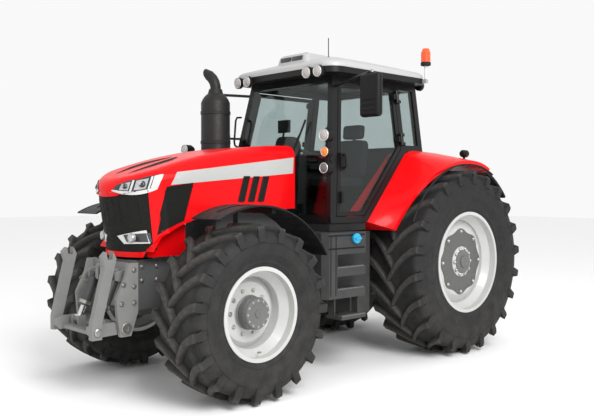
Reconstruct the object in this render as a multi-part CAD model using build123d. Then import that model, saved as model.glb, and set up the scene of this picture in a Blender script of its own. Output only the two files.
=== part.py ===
from build123d import *
import os
from math import atan2, cos, hypot, pi, radians, sin, sqrt, tan

os.makedirs("parts", exist_ok=True)

# A large four-wheel-drive farm tractor with a closed cab, front linkage and rear linkage.
# Millimetres. While the pieces are made, X runs forward from the rear axle, Y to the left and
# Z up from the ground; on export the origin moves to the ground under the middle of the length.

# Wheels
WHEELBASE = 2985
REAR_TRACK = 1860
FRONT_TRACK = 1930
REAR_TYRE_RADIUS = 1015
REAR_TYRE_WIDTH = 690
REAR_BEAD_RADIUS = 533
REAR_RIM_WIDTH = 600
REAR_DISC_OFFSET = 200
REAR_LUGS = 22
FRONT_TYRE_RADIUS = 765
FRONT_TYRE_WIDTH = 600
FRONT_BEAD_RADIUS = 381
FRONT_RIM_WIDTH = 500
FRONT_DISC_OFFSET = 60
FRONT_LUGS = 20
TYRE_WALL = 40
RIM_WALL = 12
RIM_FLANGE = 22
RIM_WELL = 60
AXLE_SHAFT_RADIUS = 62
SPINDLE_RADIUS = 70

# Fits
RUNNING_FIT = 0.05
SKIN_GAP = 0.3
SWING_GAP = 8

# Backbone
HOUSING_REAR_X = -380
HOUSING_HALF_WIDTH = 290
HOUSING_TOP_Z = 1360
HOUSING_BOTTOM_Z = 600
GEARBOX_HALF_WIDTH = 230
GEARBOX_TOP_Z = 1250
ENGINE_LENGTH = 910
ENGINE_HALF_WIDTH = 250
ENGINE_BOTTOM_Z = 900
ENGINE_TOP_Z = 1780
SUPPORT_HALF_WIDTH = 240
SUPPORT_BOTTOM_Z = 950
SUPPORT_TOP_Z = 1190
SUPPORT_FRONT = 675

# Front axle and steering
KINGPIN_HALF_SPACING = 760
KINGPIN_RADIUS = 45
KNUCKLE_RADIUS = 105
KNUCKLE_HALF_HEIGHT = 165
YOKE_THICKNESS = 45
BEAM_HALF_WIDTH = 95
BEAM_HALF_HEIGHT = 80
DIFFERENTIAL_RADIUS = 165
TRUNNION_RADIUS = 60
GUARD_GAP = 150
GUARD_THICKNESS = 12
GUARD_INNER_Y = 810
GUARD_OUTER_Y = 1200
GUARD_FRONT_DEG = 62
GUARD_REAR_DEG = 150
GUARD_TUBE = 22
GUARD_POST = (-195, -150)

# Bonnet
BONNET_REAR_X = 1915
BONNET_HALF_WIDTH = 465
BONNET_REAR_Z = 2250
BONNET_NOSE_Z = 1885
BONNET_NOSE = 805
BONNET_CORNER = 495
BONNET_BOTTOM_Z = 1215
BONNET_SIDE_Z = 1620
BONNET_WALL = 14
BONNET_SHOULDER = 120
BONNET_HINGE_DROP = 60
BONNET_PIN_RADIUS = 14
BONNET_HINGE_Y = 100

# Cab
SILL_Z = 1540
CAB_TOP_Z = 2980
CAB_HALF_WIDTH = 850
CAB_TUMBLEHOME = 0.15
PILLAR_FOOT_X = 1800
WINDSCREEN_RAKE = 0.167
REAR_POST_X = 560
CAB_REAR_X = 215
FRAME_DEPTH = 60
FRAME_WIDTH = 70
FLOOR_THICKNESS = 80
FENDER_WALL_Y = 520
GLASS = 10
DOOR_BORDER = 45
DOOR_FRONT_FOOT_X = 1715
DOOR_REAR_FOOT_X = 1300
SHOULDER_Z = 2225
HINGE_PIN_RADIUS = 12
ROOF_HALF_WIDTH = 800
ROOF_FRONT_X = 1730
ROOF_REAR_X = 150
ROOF_RIM_HEIGHT = 60
ROOF_TOP_Z = 3270

# Fenders
ARCH_RADIUS = 1075
LIP_RADIUS = 1120
LIP_Y = 1225
LIP_Z = 2100
LIP_LEAN = 0.28
FENDER_FOOT_Z = 1480

# Linkages
FRONT_PIVOT_X = 3780
FRONT_PIVOT_Z = 630
FRONT_ARM_REACH = 270
FRONT_TIP_X = 4100
LINK_HEIGHT = 660
REAR_TIP_X = -1360
LOWER_PIVOT_X = -480
LOWER_PIVOT_Z = 620
LIFT_SHAFT_X = -300
LIFT_SHAFT_Z = 1430
LIFT_ARM_LENGTH = 430

REAR_FACETS = 2 * REAR_LUGS
FRONT_FACETS = 2 * FRONT_LUGS
REAR_HUB_Z = REAR_TYRE_RADIUS * cos(pi / REAR_FACETS)
FRONT_HUB_Z = FRONT_TYRE_RADIUS * cos(pi / FRONT_FACETS)
ENGINE_FRONT_X = WHEELBASE - 245
ENGINE_REAR_X = ENGINE_FRONT_X - ENGINE_LENGTH
SUPPORT_FRONT_X = WHEELBASE + SUPPORT_FRONT
MIDDLE_X = (FRONT_TIP_X + REAR_TIP_X) / 2
LEAN = atan2(CAB_TUMBLEHOME, 1)
RAKE = atan2(WINDSCREEN_RAKE, 1)


def block(x_low, x_high, y_low, y_high, z_low, z_high):
    """A box between its six faces."""
    place = Pos((x_low + x_high) / 2, (y_low + y_high) / 2, (z_low + z_high) / 2)
    return place * Box(x_high - x_low, y_high - y_low, z_high - z_low)


def side_prism(points, y_low, y_high):
    """A side-view outline of (x, z) points, pushed from y_low to y_high."""
    outline = make_face(Polyline(*[(x, y_low, z) for x, z in points], close=True))
    return extrude(outline, amount=y_high - y_low, dir=(0, 1, 0))


def front_prism(points, x_low, x_high):
    """A front-view outline of (y, z) points, pushed from x_low to x_high."""
    outline = make_face(Polyline(*[(x_low, y, z) for y, z in points], close=True))
    return extrude(outline, amount=x_high - x_low, dir=(1, 0, 0))


def plan_prism(points, z_low, z_high):
    """A plan outline of (x, y) points, pushed from z_low to z_high."""
    outline = make_face(Polyline(*[(x, y, z_low) for x, y in points], close=True))
    return extrude(outline, amount=z_high - z_low, dir=(0, 0, 1))


def rod(start, end, radius):
    """A round bar between two points."""
    run = Vector(*end) - Vector(*start)
    low = (Align.CENTER, Align.CENTER, Align.MIN)
    return Plane(origin=start, z_dir=run) * Cylinder(radius, run.length, align=low)


def bar(start, end, width, depth, width_dir=(0, 1, 0)):
    """A square bar between two points, its width along width_dir."""
    run = Vector(*end) - Vector(*start)
    low = (Align.CENTER, Align.CENTER, Align.MIN)
    return Plane(origin=start, z_dir=run, x_dir=width_dir) * Box(width, depth, run.length, align=low)


def turned(points):
    """A ring or disc about Y from a closed outline of (radius, y) points."""
    return revolve(make_face(Polyline(*[(r, y, 0) for r, y in points], close=True)), axis=Axis.Y)


def faceted_ring(points, count):
    """A ring about Y of flat facets from a closed outline of (radius, y) points."""
    step = 2 * pi / count
    turn = [step * (i - 0.5) - pi / 2 for i in range(count + 1)]
    faces = []
    for low, high in zip(turn, turn[1:]):
        for (r0, y0), (r1, y1) in zip(points, points[1:] + points[:1]):
            corners = [
                (r0 * cos(low), y0, r0 * sin(low)),
                (r1 * cos(low), y1, r1 * sin(low)),
                (r1 * cos(high), y1, r1 * sin(high)),
                (r0 * cos(high), y0, r0 * sin(high)),
            ]
            faces.append(Face(Wire.make_polygon([Vector(*c) for c in corners], close=True)))
    return Part(Solid(Shell(faces)).wrapped)


def two_sides(piece):
    """A left piece and its mirror image on the right, as one node."""
    return Part() + [piece, mirror(piece, about=Plane.XZ)]


# Wheels: each is made about the origin with its outer face towards +Y.


def tyre(radius, width, bead, rim_width, facets):
    seat = (bead + SKIN_GAP) / cos(pi / facets)
    face = rim_width / 2 - RIM_WALL - SKIN_GAP
    half = width / 2
    side = seat + (radius - seat) * 0.45
    outer = [
        (seat, face),
        (seat + RIM_FLANGE + TYRE_WALL / 2, face),
        (side, half),
        (radius - TYRE_WALL * 1.5, half - TYRE_WALL / 2),
        (radius, half - TYRE_WALL * 1.5),
    ]
    inner = [
        (radius - TYRE_WALL * 2.4, half - TYRE_WALL * 2.5),
        (side, half - TYRE_WALL),
        (seat, face - TYRE_WALL),
    ]
    ring = outer + [(r, -y) for r, y in reversed(outer)]
    ring += [(r, -y) for r, y in reversed(inner)] + inner
    return faceted_ring(ring, facets)


def rim(bead, width):
    half = width / 2
    step = RIM_WELL * 1.1
    well = bead - RIM_WELL
    outer = [
        (bead + RIM_FLANGE, half),
        (bead + RIM_FLANGE, half - RIM_WALL),
        (bead, half - RIM_WALL),
        (bead, half - step),
        (well, half - 2 * step),
    ]
    inner = [
        (well - RIM_WALL, half - 2 * step - RIM_WALL / 2),
        (bead - RIM_WALL, half - step - RIM_WALL / 2),
        (bead - RIM_WALL, half),
    ]
    ring = outer + [(r, -y) for r, y in reversed(outer)]
    ring += [(r, -y) for r, y in reversed(inner)] + inner
    return turned(ring)


def rear_wheel():
    disc_out = REAR_BEAD_RADIUS - RIM_WELL - RIM_WALL / 2
    face = REAR_DISC_OFFSET
    hub = 2.7 * AXLE_SHAFT_RADIUS
    disc = turned([
        (hub / 2, face - 40),
        (disc_out * 0.78, face - 40),
        (disc_out, face - 90),
        (disc_out, face - 66),
        (disc_out * 0.8, face - 16),
        (hub / 2, face - 16),
    ])
    boss = turned([(0, 0), (hub, 0), (hub, face), (hub * 0.8, face + 14), (0, face + 14)])
    shaft = rod((0, -REAR_TYRE_WIDTH * 0.38, 0), (0, face + 36, 0), AXLE_SHAFT_RADIUS)
    return rim(REAR_BEAD_RADIUS, REAR_RIM_WIDTH) + disc + boss + shaft


def front_wheel():
    disc_out = FRONT_BEAD_RADIUS - RIM_WELL - RIM_WALL / 2
    face = FRONT_DISC_OFFSET
    hub = 2.1 * SPINDLE_RADIUS
    cap = 1.9 * SPINDLE_RADIUS
    bore = SPINDLE_RADIUS + RUNNING_FIT
    disc = turned([
        (hub * 0.8, face - 20),
        (disc_out * 0.8, face - 20),
        (disc_out, face - 60),
        (disc_out, face - 40),
        (disc_out * 0.82, face),
        (hub * 0.8, face),
    ])
    boss = turned([
        (bore, -80),
        (hub, -80),
        (hub, face + 20),
        (cap, face + 30),
        (cap, face + 120),
        (cap * 0.8, face + 132),
        (0, face + 132),
        (0, face + 20),
        (bore, face + 20),
    ])
    return rim(FRONT_BEAD_RADIUS, FRONT_RIM_WIDTH) + disc + boss


REAR_WHEEL_PLACE = Pos(0, REAR_TRACK / 2, REAR_HUB_Z)
FRONT_WHEEL_PLACE = Pos(WHEELBASE, FRONT_TRACK / 2, FRONT_HUB_Z)


# Backbone


def engine():
    half = ENGINE_HALF_WIDTH
    back, front = ENGINE_REAR_X, ENGINE_FRONT_X
    engine_block = block(back, front, -half, half, ENGINE_BOTTOM_Z, ENGINE_TOP_Z)
    sump = block(back + 60, front - 130, -half * 0.75, half * 0.75, ENGINE_BOTTOM_Z - 160, ENGINE_BOTTOM_Z)
    head = block(back + 80, front - 60, -half * 0.6, half * 0.6, ENGINE_TOP_Z, ENGINE_TOP_Z + 70)
    return engine_block + sump + head


def radiator():
    half = SUPPORT_HALF_WIDTH * 1.2
    back = SUPPORT_FRONT_X - 430
    return block(back, back + 210, -half, half, SUPPORT_TOP_Z, SUPPORT_TOP_Z + 570)


def transmission():
    half = HOUSING_HALF_WIDTH
    middle_x = HOUSING_REAR_X + 860
    housing = block(HOUSING_REAR_X, middle_x, -half, half, HOUSING_BOTTOM_Z, HOUSING_TOP_Z)
    narrow = GEARBOX_HALF_WIDTH
    gearbox = block(middle_x, ENGINE_REAR_X, -narrow, narrow, HOUSING_BOTTOM_Z + 20, GEARBOX_TOP_Z)
    drop_box = block(
        ENGINE_REAR_X - 250, ENGINE_REAR_X, -narrow / 2, narrow / 2, HOUSING_BOTTOM_Z - 70, HOUSING_BOTTOM_Z + 20
    )
    return housing + gearbox + drop_box


def rear_axle():
    inner = HOUSING_HALF_WIDTH
    end = REAR_TRACK / 2 - 15
    bore = AXLE_SHAFT_RADIUS + RUNNING_FIT
    seat = REAR_TRACK / 2 - REAR_TYRE_WIDTH * 0.38 - 10
    trumpet = turned([
        (0, inner),
        (200, inner),
        (200, inner + 50),
        (150, inner + 230),
        (2.2 * AXLE_SHAFT_RADIUS, end),
        (bore, end),
        (bore, seat),
        (0, seat),
    ])
    return two_sides(Pos(0, 0, REAR_HUB_Z) * trumpet)


def front_support():
    back = ENGINE_FRONT_X
    half = SUPPORT_HALF_WIDTH
    casting = block(back, SUPPORT_FRONT_X, -half, half, SUPPORT_BOTTOM_Z, SUPPORT_TOP_Z)
    nose = block(WHEELBASE + 250, SUPPORT_FRONT_X, -half, half, SUPPORT_BOTTOM_Z - 200, SUPPORT_BOTTOM_Z)
    hanger_half = TRUNNION_RADIUS * 1.8
    hanger_bottom = FRONT_HUB_Z - TRUNNION_RADIUS - 25
    bore = rod((back, 0, FRONT_HUB_Z), (SUPPORT_FRONT_X, 0, FRONT_HUB_Z), TRUNNION_RADIUS + SKIN_GAP)
    hangers = Part()
    for near in (-DIFFERENTIAL_RADIUS - 70, DIFFERENTIAL_RADIUS + 10):
        low = WHEELBASE + near
        hangers += block(low, low + 60, -hanger_half, hanger_half, hanger_bottom, SUPPORT_BOTTOM_Z)
    return casting + nose + (hangers - bore)


def front_axle():
    z = FRONT_HUB_Z
    arm_low = KNUCKLE_HALF_HEIGHT + 7
    arm_high = arm_low + YOKE_THICKNESS
    back = KINGPIN_HALF_SPACING - KNUCKLE_RADIUS - 15
    tip = KINGPIN_HALF_SPACING + KINGPIN_RADIUS + 35
    wide = BEAM_HALF_WIDTH
    beam = block(WHEELBASE - wide, WHEELBASE + wide, -back, back, z - BEAM_HALF_HEIGHT, z + BEAM_HALF_HEIGHT)
    narrow = wide * 0.9
    west, east = WHEELBASE - narrow, WHEELBASE + narrow
    yoke = block(west, east, back - 80, back, z - arm_high, z + arm_high)
    yoke += block(west, east, back - 80, tip, z + arm_low, z + arm_high)
    yoke += block(west, east, back - 80, tip, z - arm_high, z - arm_low)
    pin_x, pin_y = WHEELBASE, KINGPIN_HALF_SPACING
    yoke -= rod((pin_x, pin_y, z - 2 * arm_high), (pin_x, pin_y, z + 2 * arm_high), KINGPIN_RADIUS + RUNNING_FIT)
    housing_half = DIFFERENTIAL_RADIUS * 0.9
    housing = rod((WHEELBASE, -housing_half, z), (WHEELBASE, housing_half, z), DIFFERENTIAL_RADIUS)
    reach = DIFFERENTIAL_RADIUS + 70
    trunnion = rod((WHEELBASE - reach, 0, z), (WHEELBASE + reach, 0, z), TRUNNION_RADIUS)
    shaft_start = (ENGINE_REAR_X, 0, HOUSING_BOTTOM_Z - 20)
    drive_shaft = rod(shaft_start, (WHEELBASE - 60, 0, z - DIFFERENTIAL_RADIUS * 0.8), 36)
    drive_shaft -= block(ENGINE_REAR_X - 100, ENGINE_REAR_X, -100, 100, 0, z)
    return beam + housing + trunnion + yoke + mirror(yoke, about=Plane.XZ) + drive_shaft


def knuckle():
    x, y, z = WHEELBASE, KINGPIN_HALF_SPACING, FRONT_HUB_Z
    pin_reach = KNUCKLE_HALF_HEIGHT + 7 + YOKE_THICKNESS
    body = rod((x, y, z - KNUCKLE_HALF_HEIGHT), (x, y, z + KNUCKLE_HALF_HEIGHT), KNUCKLE_RADIUS)
    pin = rod((x, y, z - pin_reach), (x, y, z + pin_reach), KINGPIN_RADIUS)
    spindle = rod((x, y, z), (x, FRONT_TRACK / 2 + FRONT_DISC_OFFSET + 10, z), SPINDLE_RADIUS)
    arm = block(x - 230, x - KNUCKLE_RADIUS * 0.7, y - 25, y + 50, z + 20, z + 90)
    cap_z = z + pin_reach
    cap = rod((x, y, cap_z), (x, y, cap_z + 40), KINGPIN_RADIUS)
    post_foot = bar(
        (x, y, cap_z + 24), (x + GUARD_POST[0], y + GUARD_POST[1], cap_z + 24), 32, GUARD_TUBE * 2.4, (0, 0, 1)
    )
    return body + pin + spindle + arm + cap + post_foot


def guard_arc(radius, start_deg, end_deg):
    """Points of (x, z) along an arc about the front axle, from the front over the top."""
    steps = 14
    span = [start_deg + (end_deg - start_deg) * i / steps for i in range(steps + 1)]
    return [(WHEELBASE + radius * cos(radians(a)), FRONT_HUB_Z + radius * sin(radians(a))) for a in span]


def front_guard():
    outer = FRONT_TYRE_RADIUS + GUARD_GAP
    inner = outer - GUARD_THICKNESS
    skin = guard_arc(outer, GUARD_FRONT_DEG, GUARD_REAR_DEG)
    under = guard_arc(inner, GUARD_FRONT_DEG, GUARD_REAR_DEG)
    blade = side_prism(skin + under[::-1], GUARD_INNER_Y, GUARD_OUTER_Y)
    tube = GUARD_TUBE
    post_x = WHEELBASE + GUARD_POST[0]
    post_y = KINGPIN_HALF_SPACING + GUARD_POST[1]
    top_z = FRONT_HUB_Z + sqrt(inner**2 - (post_x + tube - WHEELBASE) ** 2) - tube
    foot_z = FRONT_HUB_Z + KNUCKLE_HALF_HEIGHT + YOKE_THICKNESS + 47
    post = rod((post_x, post_y, foot_z), (post_x, post_y, top_z + tube), tube)
    rail = block(post_x - tube, post_x + tube, post_y, GUARD_OUTER_Y - 60, top_z - tube, top_z + tube)
    return blade + post + (rail - block(0, 2 * WHEELBASE, 0, post_y - 1, 0, SILL_Z))


# Bonnet

BONNET_NOSE_X = WHEELBASE + BONNET_NOSE
BONNET_HINGE_X = BONNET_REAR_X + 50
BONNET_CORNER_X = WHEELBASE + BONNET_CORNER
BONNET_ARCH = [
    (BONNET_REAR_X - 20, BONNET_SIDE_Z),
    (WHEELBASE - 300, BONNET_SIDE_Z - 15),
    (WHEELBASE + 165, BONNET_SIDE_Z - 85),
    (WHEELBASE + 315, BONNET_SIDE_Z - 135),
    (WHEELBASE + 495, BONNET_SIDE_Z - 230),
    (WHEELBASE + 575, BONNET_SIDE_Z - 350),
    (WHEELBASE + 590, BONNET_BOTTOM_Z),
]


def bonnet_form(inset):
    """The bonnet's solid shape, drawn in by inset from its outer skin."""
    rear = BONNET_REAR_X - 2 * inset
    top_rear = (rear, 0, BONNET_REAR_Z - inset)
    top_middle = ((BONNET_REAR_X + BONNET_NOSE_X) / 2, 0, (BONNET_REAR_Z + BONNET_NOSE_Z) / 2 + 85 - inset)
    top_nose = (BONNET_NOSE_X + 60, 0, BONNET_NOSE_Z - 35 - inset)
    crown = ThreePointArc(top_rear, top_middle, top_nose)
    low = BONNET_BOTTOM_Z - 200
    walls = Polyline(top_nose, (top_nose[0], 0, low), (rear, 0, low), top_rear)
    top = extrude(make_face([crown, walls]), amount=BONNET_HALF_WIDTH * 2, both=True)
    half = BONNET_HALF_WIDTH - inset
    slope = 0.16
    shift = slope * (low - BONNET_NOSE_Z)
    corner = BONNET_CORNER_X + shift - inset * 0.4
    tip = BONNET_NOSE_X + shift - inset
    nose = ThreePointArc((corner, half, low), (tip, 0, low), (corner, -half, low))
    back = rear - 400
    sides = Polyline((corner, -half, low), (back, -half, low), (back, half, low), (corner, half, low))
    plan = extrude(make_face([nose, sides]), amount=1500, dir=(slope, 0, 1))
    form = top & plan
    ridge = form.faces().sort_by(Axis.Z)[-1]
    rim_edges = [e for e in ridge.edges() if e.center().X > BONNET_REAR_X]
    return fillet(rim_edges, max(BONNET_SHOULDER - inset, 20))


GRILLE = [
    (0, 1742),
    (130, 1748),
    (400, 1815),
    (385, 1280),
    (300, 1262),
    (0, 1262),
]
HEADLAMP = [(40, 1768), (130, 1768), (455, 1842), (470, 1950), (300, 1890)]
LOW_LAMP = [(90, 1400), (350, 1455), (365, 1340), (160, 1330)]
SIDE_MESH = [(461, 1805), (165, 1850), (262, 1532), (500, 1440), (525, 1480)]
VENT_FEET = (-640, -520, -400)


def mirrored_outline(points):
    return points + [(-y, z) for y, z in reversed(points) if y > 0]


def front_cut(points, gap=0):
    """A front-view outline drawn in by gap, pushed through the bonnet's nose."""
    outline = make_face(Polyline(*points, close=True))
    face = Plane(origin=(WHEELBASE + 300, 0, 0), x_dir=(0, 1, 0), z_dir=(1, 0, 0)) * shrunk(outline, gap)
    return extrude(face, amount=BONNET_NOSE - 100, dir=(1, 0, 0))


def pair_cut(points, gap=0):
    left = front_cut(points, gap)
    return left + mirror(left, about=Plane.XZ)


def vent_outline(foot):
    x = WHEELBASE + foot
    return [(x, 1700), (x + 40, 1700), (x - 30, 1925), (x - 70, 1915)]


def mesh_outline():
    return [(WHEELBASE + x, z) for x, z in SIDE_MESH]


def side_cut(points, gap=0):
    """A side-view outline drawn in by gap, pushed through both sides of the bonnet."""
    outline = make_face(Polyline(*points, close=True))
    near = BONNET_HALF_WIDTH * 0.93
    face = Plane(origin=(0, near, 0), x_dir=(1, 0, 0), z_dir=(0, -1, 0)) * shrunk(outline, gap)
    left = extrude(face, amount=BONNET_HALF_WIDTH * 0.2, dir=(0, 1, 0))
    return left + mirror(left, about=Plane.XZ)


def shrunk(face, amount):
    return offset(face, -amount, kind=Kind.INTERSECTION) if amount else face


def bonnet():
    wall = BONNET_WALL
    shell = bonnet_form(0) - bonnet_form(wall)
    below = [(BONNET_REAR_X - 60, 900), (BONNET_REAR_X - 60, BONNET_SIDE_Z)] + BONNET_ARCH
    below += [(BONNET_NOSE_X + 100, BONNET_BOTTOM_Z), (BONNET_NOSE_X + 100, 900)]
    shell -= side_prism(below, -2 * BONNET_HALF_WIDTH, 2 * BONNET_HALF_WIDTH)
    shell -= block(0, BONNET_REAR_X, -2000, 2000, 0, 3000)
    shell -= front_cut(mirrored_outline(GRILLE))
    shell -= pair_cut(HEADLAMP)
    shell -= side_cut(mesh_outline())
    for foot in VENT_FEET:
        shell -= side_cut(vent_outline(foot))
    band_low = BONNET_ARCH[2:6]
    band = side_prism(
        band_low + [(x, z + wall) for x, z in reversed(band_low)], 320, BONNET_HALF_WIDTH - wall / 2
    )
    foot_z = BONNET_BOTTOM_Z
    skirt_outline = [(x, z + wall) for x, z in band_low]
    skirt_outline += [(band_low[-1][0] - 30, foot_z), (band_low[0][0] - 60, foot_z), (band_low[0][0], foot_z + 150)]
    skirt = side_prism(skirt_outline, 320, 320 + wall)
    liner = band + skirt - inlay(front_cut(mirrored_outline(GRILLE)), 0, 50)
    shell += liner + mirror(liner, about=Plane.XZ)
    hinge_z = BONNET_REAR_Z - BONNET_HINGE_DROP
    x = BONNET_HINGE_X
    for y in (-BONNET_HINGE_Y, BONNET_HINGE_Y):
        lug = block(x - 30, x + 30, y - 20, y + 20, hinge_z - 30, BONNET_REAR_Z - wall)
        shell += lug - rod((x, y - 50, hinge_z), (x, y + 50, hinge_z), BONNET_PIN_RADIUS + RUNNING_FIT)
    return shell


def bonnet_hinge():
    """Posts on the engine's head that carry the bonnet's hinge pins."""
    x, z = BONNET_HINGE_X, BONNET_REAR_Z - BONNET_HINGE_DROP
    low = ENGINE_TOP_Z + 70
    post = Part()
    for inner in (-40, 25):
        y = BONNET_HINGE_Y + inner
        post += block(x - 28, x + 28, y, y + 15, low, z + 25)
    post += rod((x, BONNET_HINGE_Y - 40, z), (x, BONNET_HINGE_Y + 40, z), BONNET_PIN_RADIUS)
    post += block(x - 28, x + 60, BONNET_HINGE_Y - 40, BONNET_HINGE_Y + 40, low, low + 30)
    return two_sides(post)


def inlay(cut, near, far):
    """What fills an opening of the bonnet between two depths below its skin."""
    return (bonnet_form(near) & cut) - bonnet_form(far)


def grille():
    cut = front_cut(mirrored_outline(GRILLE), SKIN_GAP)
    return inlay(cut, 10, 24) - pair_cut(LOW_LAMP)


def side_grilles():
    cut = side_cut(mesh_outline(), SKIN_GAP)
    for foot in VENT_FEET:
        cut += side_cut(vent_outline(foot), SKIN_GAP)
    return inlay(cut, 8, 20)


def headlamps():
    lamps = inlay(pair_cut(HEADLAMP, SKIN_GAP), 4, 40)
    return lamps + inlay(pair_cut(LOW_LAMP, SKIN_GAP), 4, 40)


# Cab: its side walls lean in towards the roof, its windscreen leans back.

WALL_PLANE = Plane(
    origin=(0, CAB_HALF_WIDTH, SILL_Z), x_dir=(1, 0, 0), z_dir=(0, -cos(LEAN), -sin(LEAN))
)
SCREEN_PLANE = Plane(
    origin=(PILLAR_FOOT_X, 0, SILL_Z), x_dir=(0, 1, 0), z_dir=(cos(RAKE), 0, sin(RAKE))
)
PILLAR_TOP_X = PILLAR_FOOT_X - WINDSCREEN_RAKE * (CAB_TOP_Z - SILL_Z)
POST_EDGE_X = REAR_POST_X + FRAME_WIDTH / 2
HEAD_Z = CAB_TOP_Z - FRAME_WIDTH
DOOR_FRONT_HEAD_X = DOOR_FRONT_FOOT_X - WINDSCREEN_RAKE * (HEAD_Z - SILL_Z)
DOOR_OUTLINE = [
    (DOOR_FRONT_FOOT_X, SILL_Z),
    (DOOR_FRONT_HEAD_X, HEAD_Z),
    (POST_EDGE_X, HEAD_Z),
    (POST_EDGE_X, SHOULDER_Z + 20),
    (DOOR_REAR_FOOT_X, SILL_Z),
]
BELT_X = POST_EDGE_X - FRAME_WIDTH * 1.2
SILL_FOOT_X = DOOR_REAR_FOOT_X - FRAME_WIDTH * 0.6


def wall_face(points):
    """A side-view outline of (x, z) points, laid on the left wall's outer skin."""
    flat = [(x, (z - SILL_Z) / cos(LEAN)) for x, z in points]
    return make_face(Polyline(*flat, close=True))


def wall_panel(face, start, depth):
    """An outline on the left wall, pushed inwards from start by depth."""
    return extrude(WALL_PLANE.offset(start) * face, amount=depth, dir=WALL_PLANE.z_dir)


def wall_half_width(z):
    """Half the room between the side frames at a height."""
    return CAB_HALF_WIDTH - CAB_TUMBLEHOME * (z - SILL_Z) - FRAME_DEPTH / cos(LEAN)


def quarter_outline():
    return [
        (REAR_POST_X - FRAME_WIDTH / 2, HEAD_Z),
        (CAB_REAR_X + FRAME_WIDTH, HEAD_Z),
        (CAB_REAR_X + FRAME_WIDTH, SHOULDER_Z + FRAME_WIDTH),
        (REAR_POST_X - FRAME_WIDTH / 2, SHOULDER_Z + FRAME_WIDTH),
    ]


def screen_face(low_z, high_z, gap):
    """A windscreen-wide outline between two heights, clear of the side frames by gap."""
    corners = []
    for z in (low_z, high_z):
        half = wall_half_width(z) - gap
        corners.append((half, (z - SILL_Z) / cos(RAKE)))
    mirrored = [(-y, s) for y, s in reversed(corners)]
    return make_face(Polyline(*corners, *mirrored, close=True))


def screen_panel(face, depth):
    return extrude(SCREEN_PLANE * face, amount=depth, dir=-SCREEN_PLANE.z_dir)


HINGE_OUT = 26
HINGE_BARREL = 20
HINGE_LENGTH = 60
HINGE_HEIGHTS = (SHOULDER_Z + 130, HEAD_Z - 90)


def hinge_point(z, out):
    """A point of the left door's hinge line, out from the wall's skin."""
    return WALL_PLANE.from_local_coords((POST_EDGE_X, (z - SILL_Z) / cos(LEAN), -out))


def hinge_rod(z_low, z_high, radius):
    return rod(hinge_point(z_low, HINGE_OUT), hinge_point(z_high, HINGE_OUT), radius)


def hinge_strap(z_low, z_high, x_low, x_high):
    outline = [(x_low, z_low), (x_high, z_low), (x_high, z_high), (x_low, z_high)]
    return wall_panel(wall_face(outline), -HINGE_OUT - 5, HINGE_OUT + 5)


def side_frame():
    outline = [
        (PILLAR_FOOT_X, SILL_Z),
        (PILLAR_TOP_X - WINDSCREEN_RAKE * 60, CAB_TOP_Z + 60),
        (CAB_REAR_X, CAB_TOP_Z + 60),
        (CAB_REAR_X, SHOULDER_Z),
        (BELT_X, SHOULDER_Z),
        (SILL_FOOT_X, SILL_Z - FRAME_WIDTH * 0.85),
        (PILLAR_FOOT_X, SILL_Z - FRAME_WIDTH * 0.85),
    ]
    face = wall_face(outline) - wall_face(DOOR_OUTLINE) - wall_face(quarter_outline())
    panel = wall_panel(face, 0, FRAME_DEPTH)
    for z in HINGE_HEIGHTS:
        half = HINGE_LENGTH / 2
        for low in (z - half - 36, z + half + 2):
            knuckles = hinge_rod(low, low + 34, HINGE_BARREL)
            panel += knuckles + hinge_strap(low, low + 34, POST_EDGE_X - FRAME_WIDTH * 0.8, POST_EDGE_X)
        panel += hinge_rod(z - half - 30, z + half + 30, HINGE_PIN_RADIUS)
    return panel


def cab_frame():
    left = side_frame()
    frame = left + mirror(left, about=Plane.XZ)
    frame += screen_panel(screen_face(HEAD_Z, CAB_TOP_Z + 60, -20), FRAME_DEPTH)
    frame += screen_panel(screen_face(SILL_Z - FRAME_WIDTH * 0.85, SILL_Z + 15, -20), FRAME_DEPTH)
    for low, high in ((SHOULDER_Z, SHOULDER_Z + FRAME_WIDTH), (HEAD_Z, CAB_TOP_Z)):
        wide, narrow = wall_half_width(low) + 20, wall_half_width(high) + 20
        outline = [(-wide, low), (wide, low), (narrow, high), (-narrow, high)]
        frame += front_prism(outline, CAB_REAR_X, CAB_REAR_X + FRAME_DEPTH)
    return frame - block(-5000, 5000, -5000, 5000, CAB_TOP_Z, CAB_TOP_Z + 500)


def windscreen():
    return screen_panel(screen_face(SILL_Z + 15 + SKIN_GAP, HEAD_Z - SKIN_GAP, 3), GLASS)


def rear_window():
    low, high = SHOULDER_Z + FRAME_WIDTH + SKIN_GAP, HEAD_Z - SKIN_GAP
    wide, narrow = wall_half_width(low) - 2, wall_half_width(high) - 2
    outline = [(-wide, low), (wide, low), (narrow, high), (-narrow, high)]
    return front_prism(outline, CAB_REAR_X + 15, CAB_REAR_X + 15 + GLASS)


def quarter_windows():
    return two_sides(wall_panel(shrunk(wall_face(quarter_outline()), SKIN_GAP), 12, GLASS))


def door_left():
    leaf = shrunk(wall_face(DOOR_OUTLINE), SWING_GAP)
    panel = wall_panel(leaf - shrunk(leaf, DOOR_BORDER), 0, FRAME_DEPTH * 0.75)
    for z in HINGE_HEIGHTS:
        half = HINGE_LENGTH / 2
        strap_x = POST_EDGE_X + SWING_GAP
        panel += hinge_strap(z - half, z + half, strap_x, strap_x + DOOR_BORDER)
        panel += hinge_rod(z - half, z + half, HINGE_BARREL)
        panel -= hinge_rod(z - half - 40, z + half + 40, HINGE_PIN_RADIUS + RUNNING_FIT)
    handle_x = DOOR_FRONT_FOOT_X - 50
    panel += wall_panel(wall_face([
        (handle_x - 45, SILL_Z + 130),
        (handle_x - 15, SILL_Z + 130),
        (handle_x - 35, SILL_Z + 250),
        (handle_x - 65, SILL_Z + 250),
    ]), -30, 35)
    return panel


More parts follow.
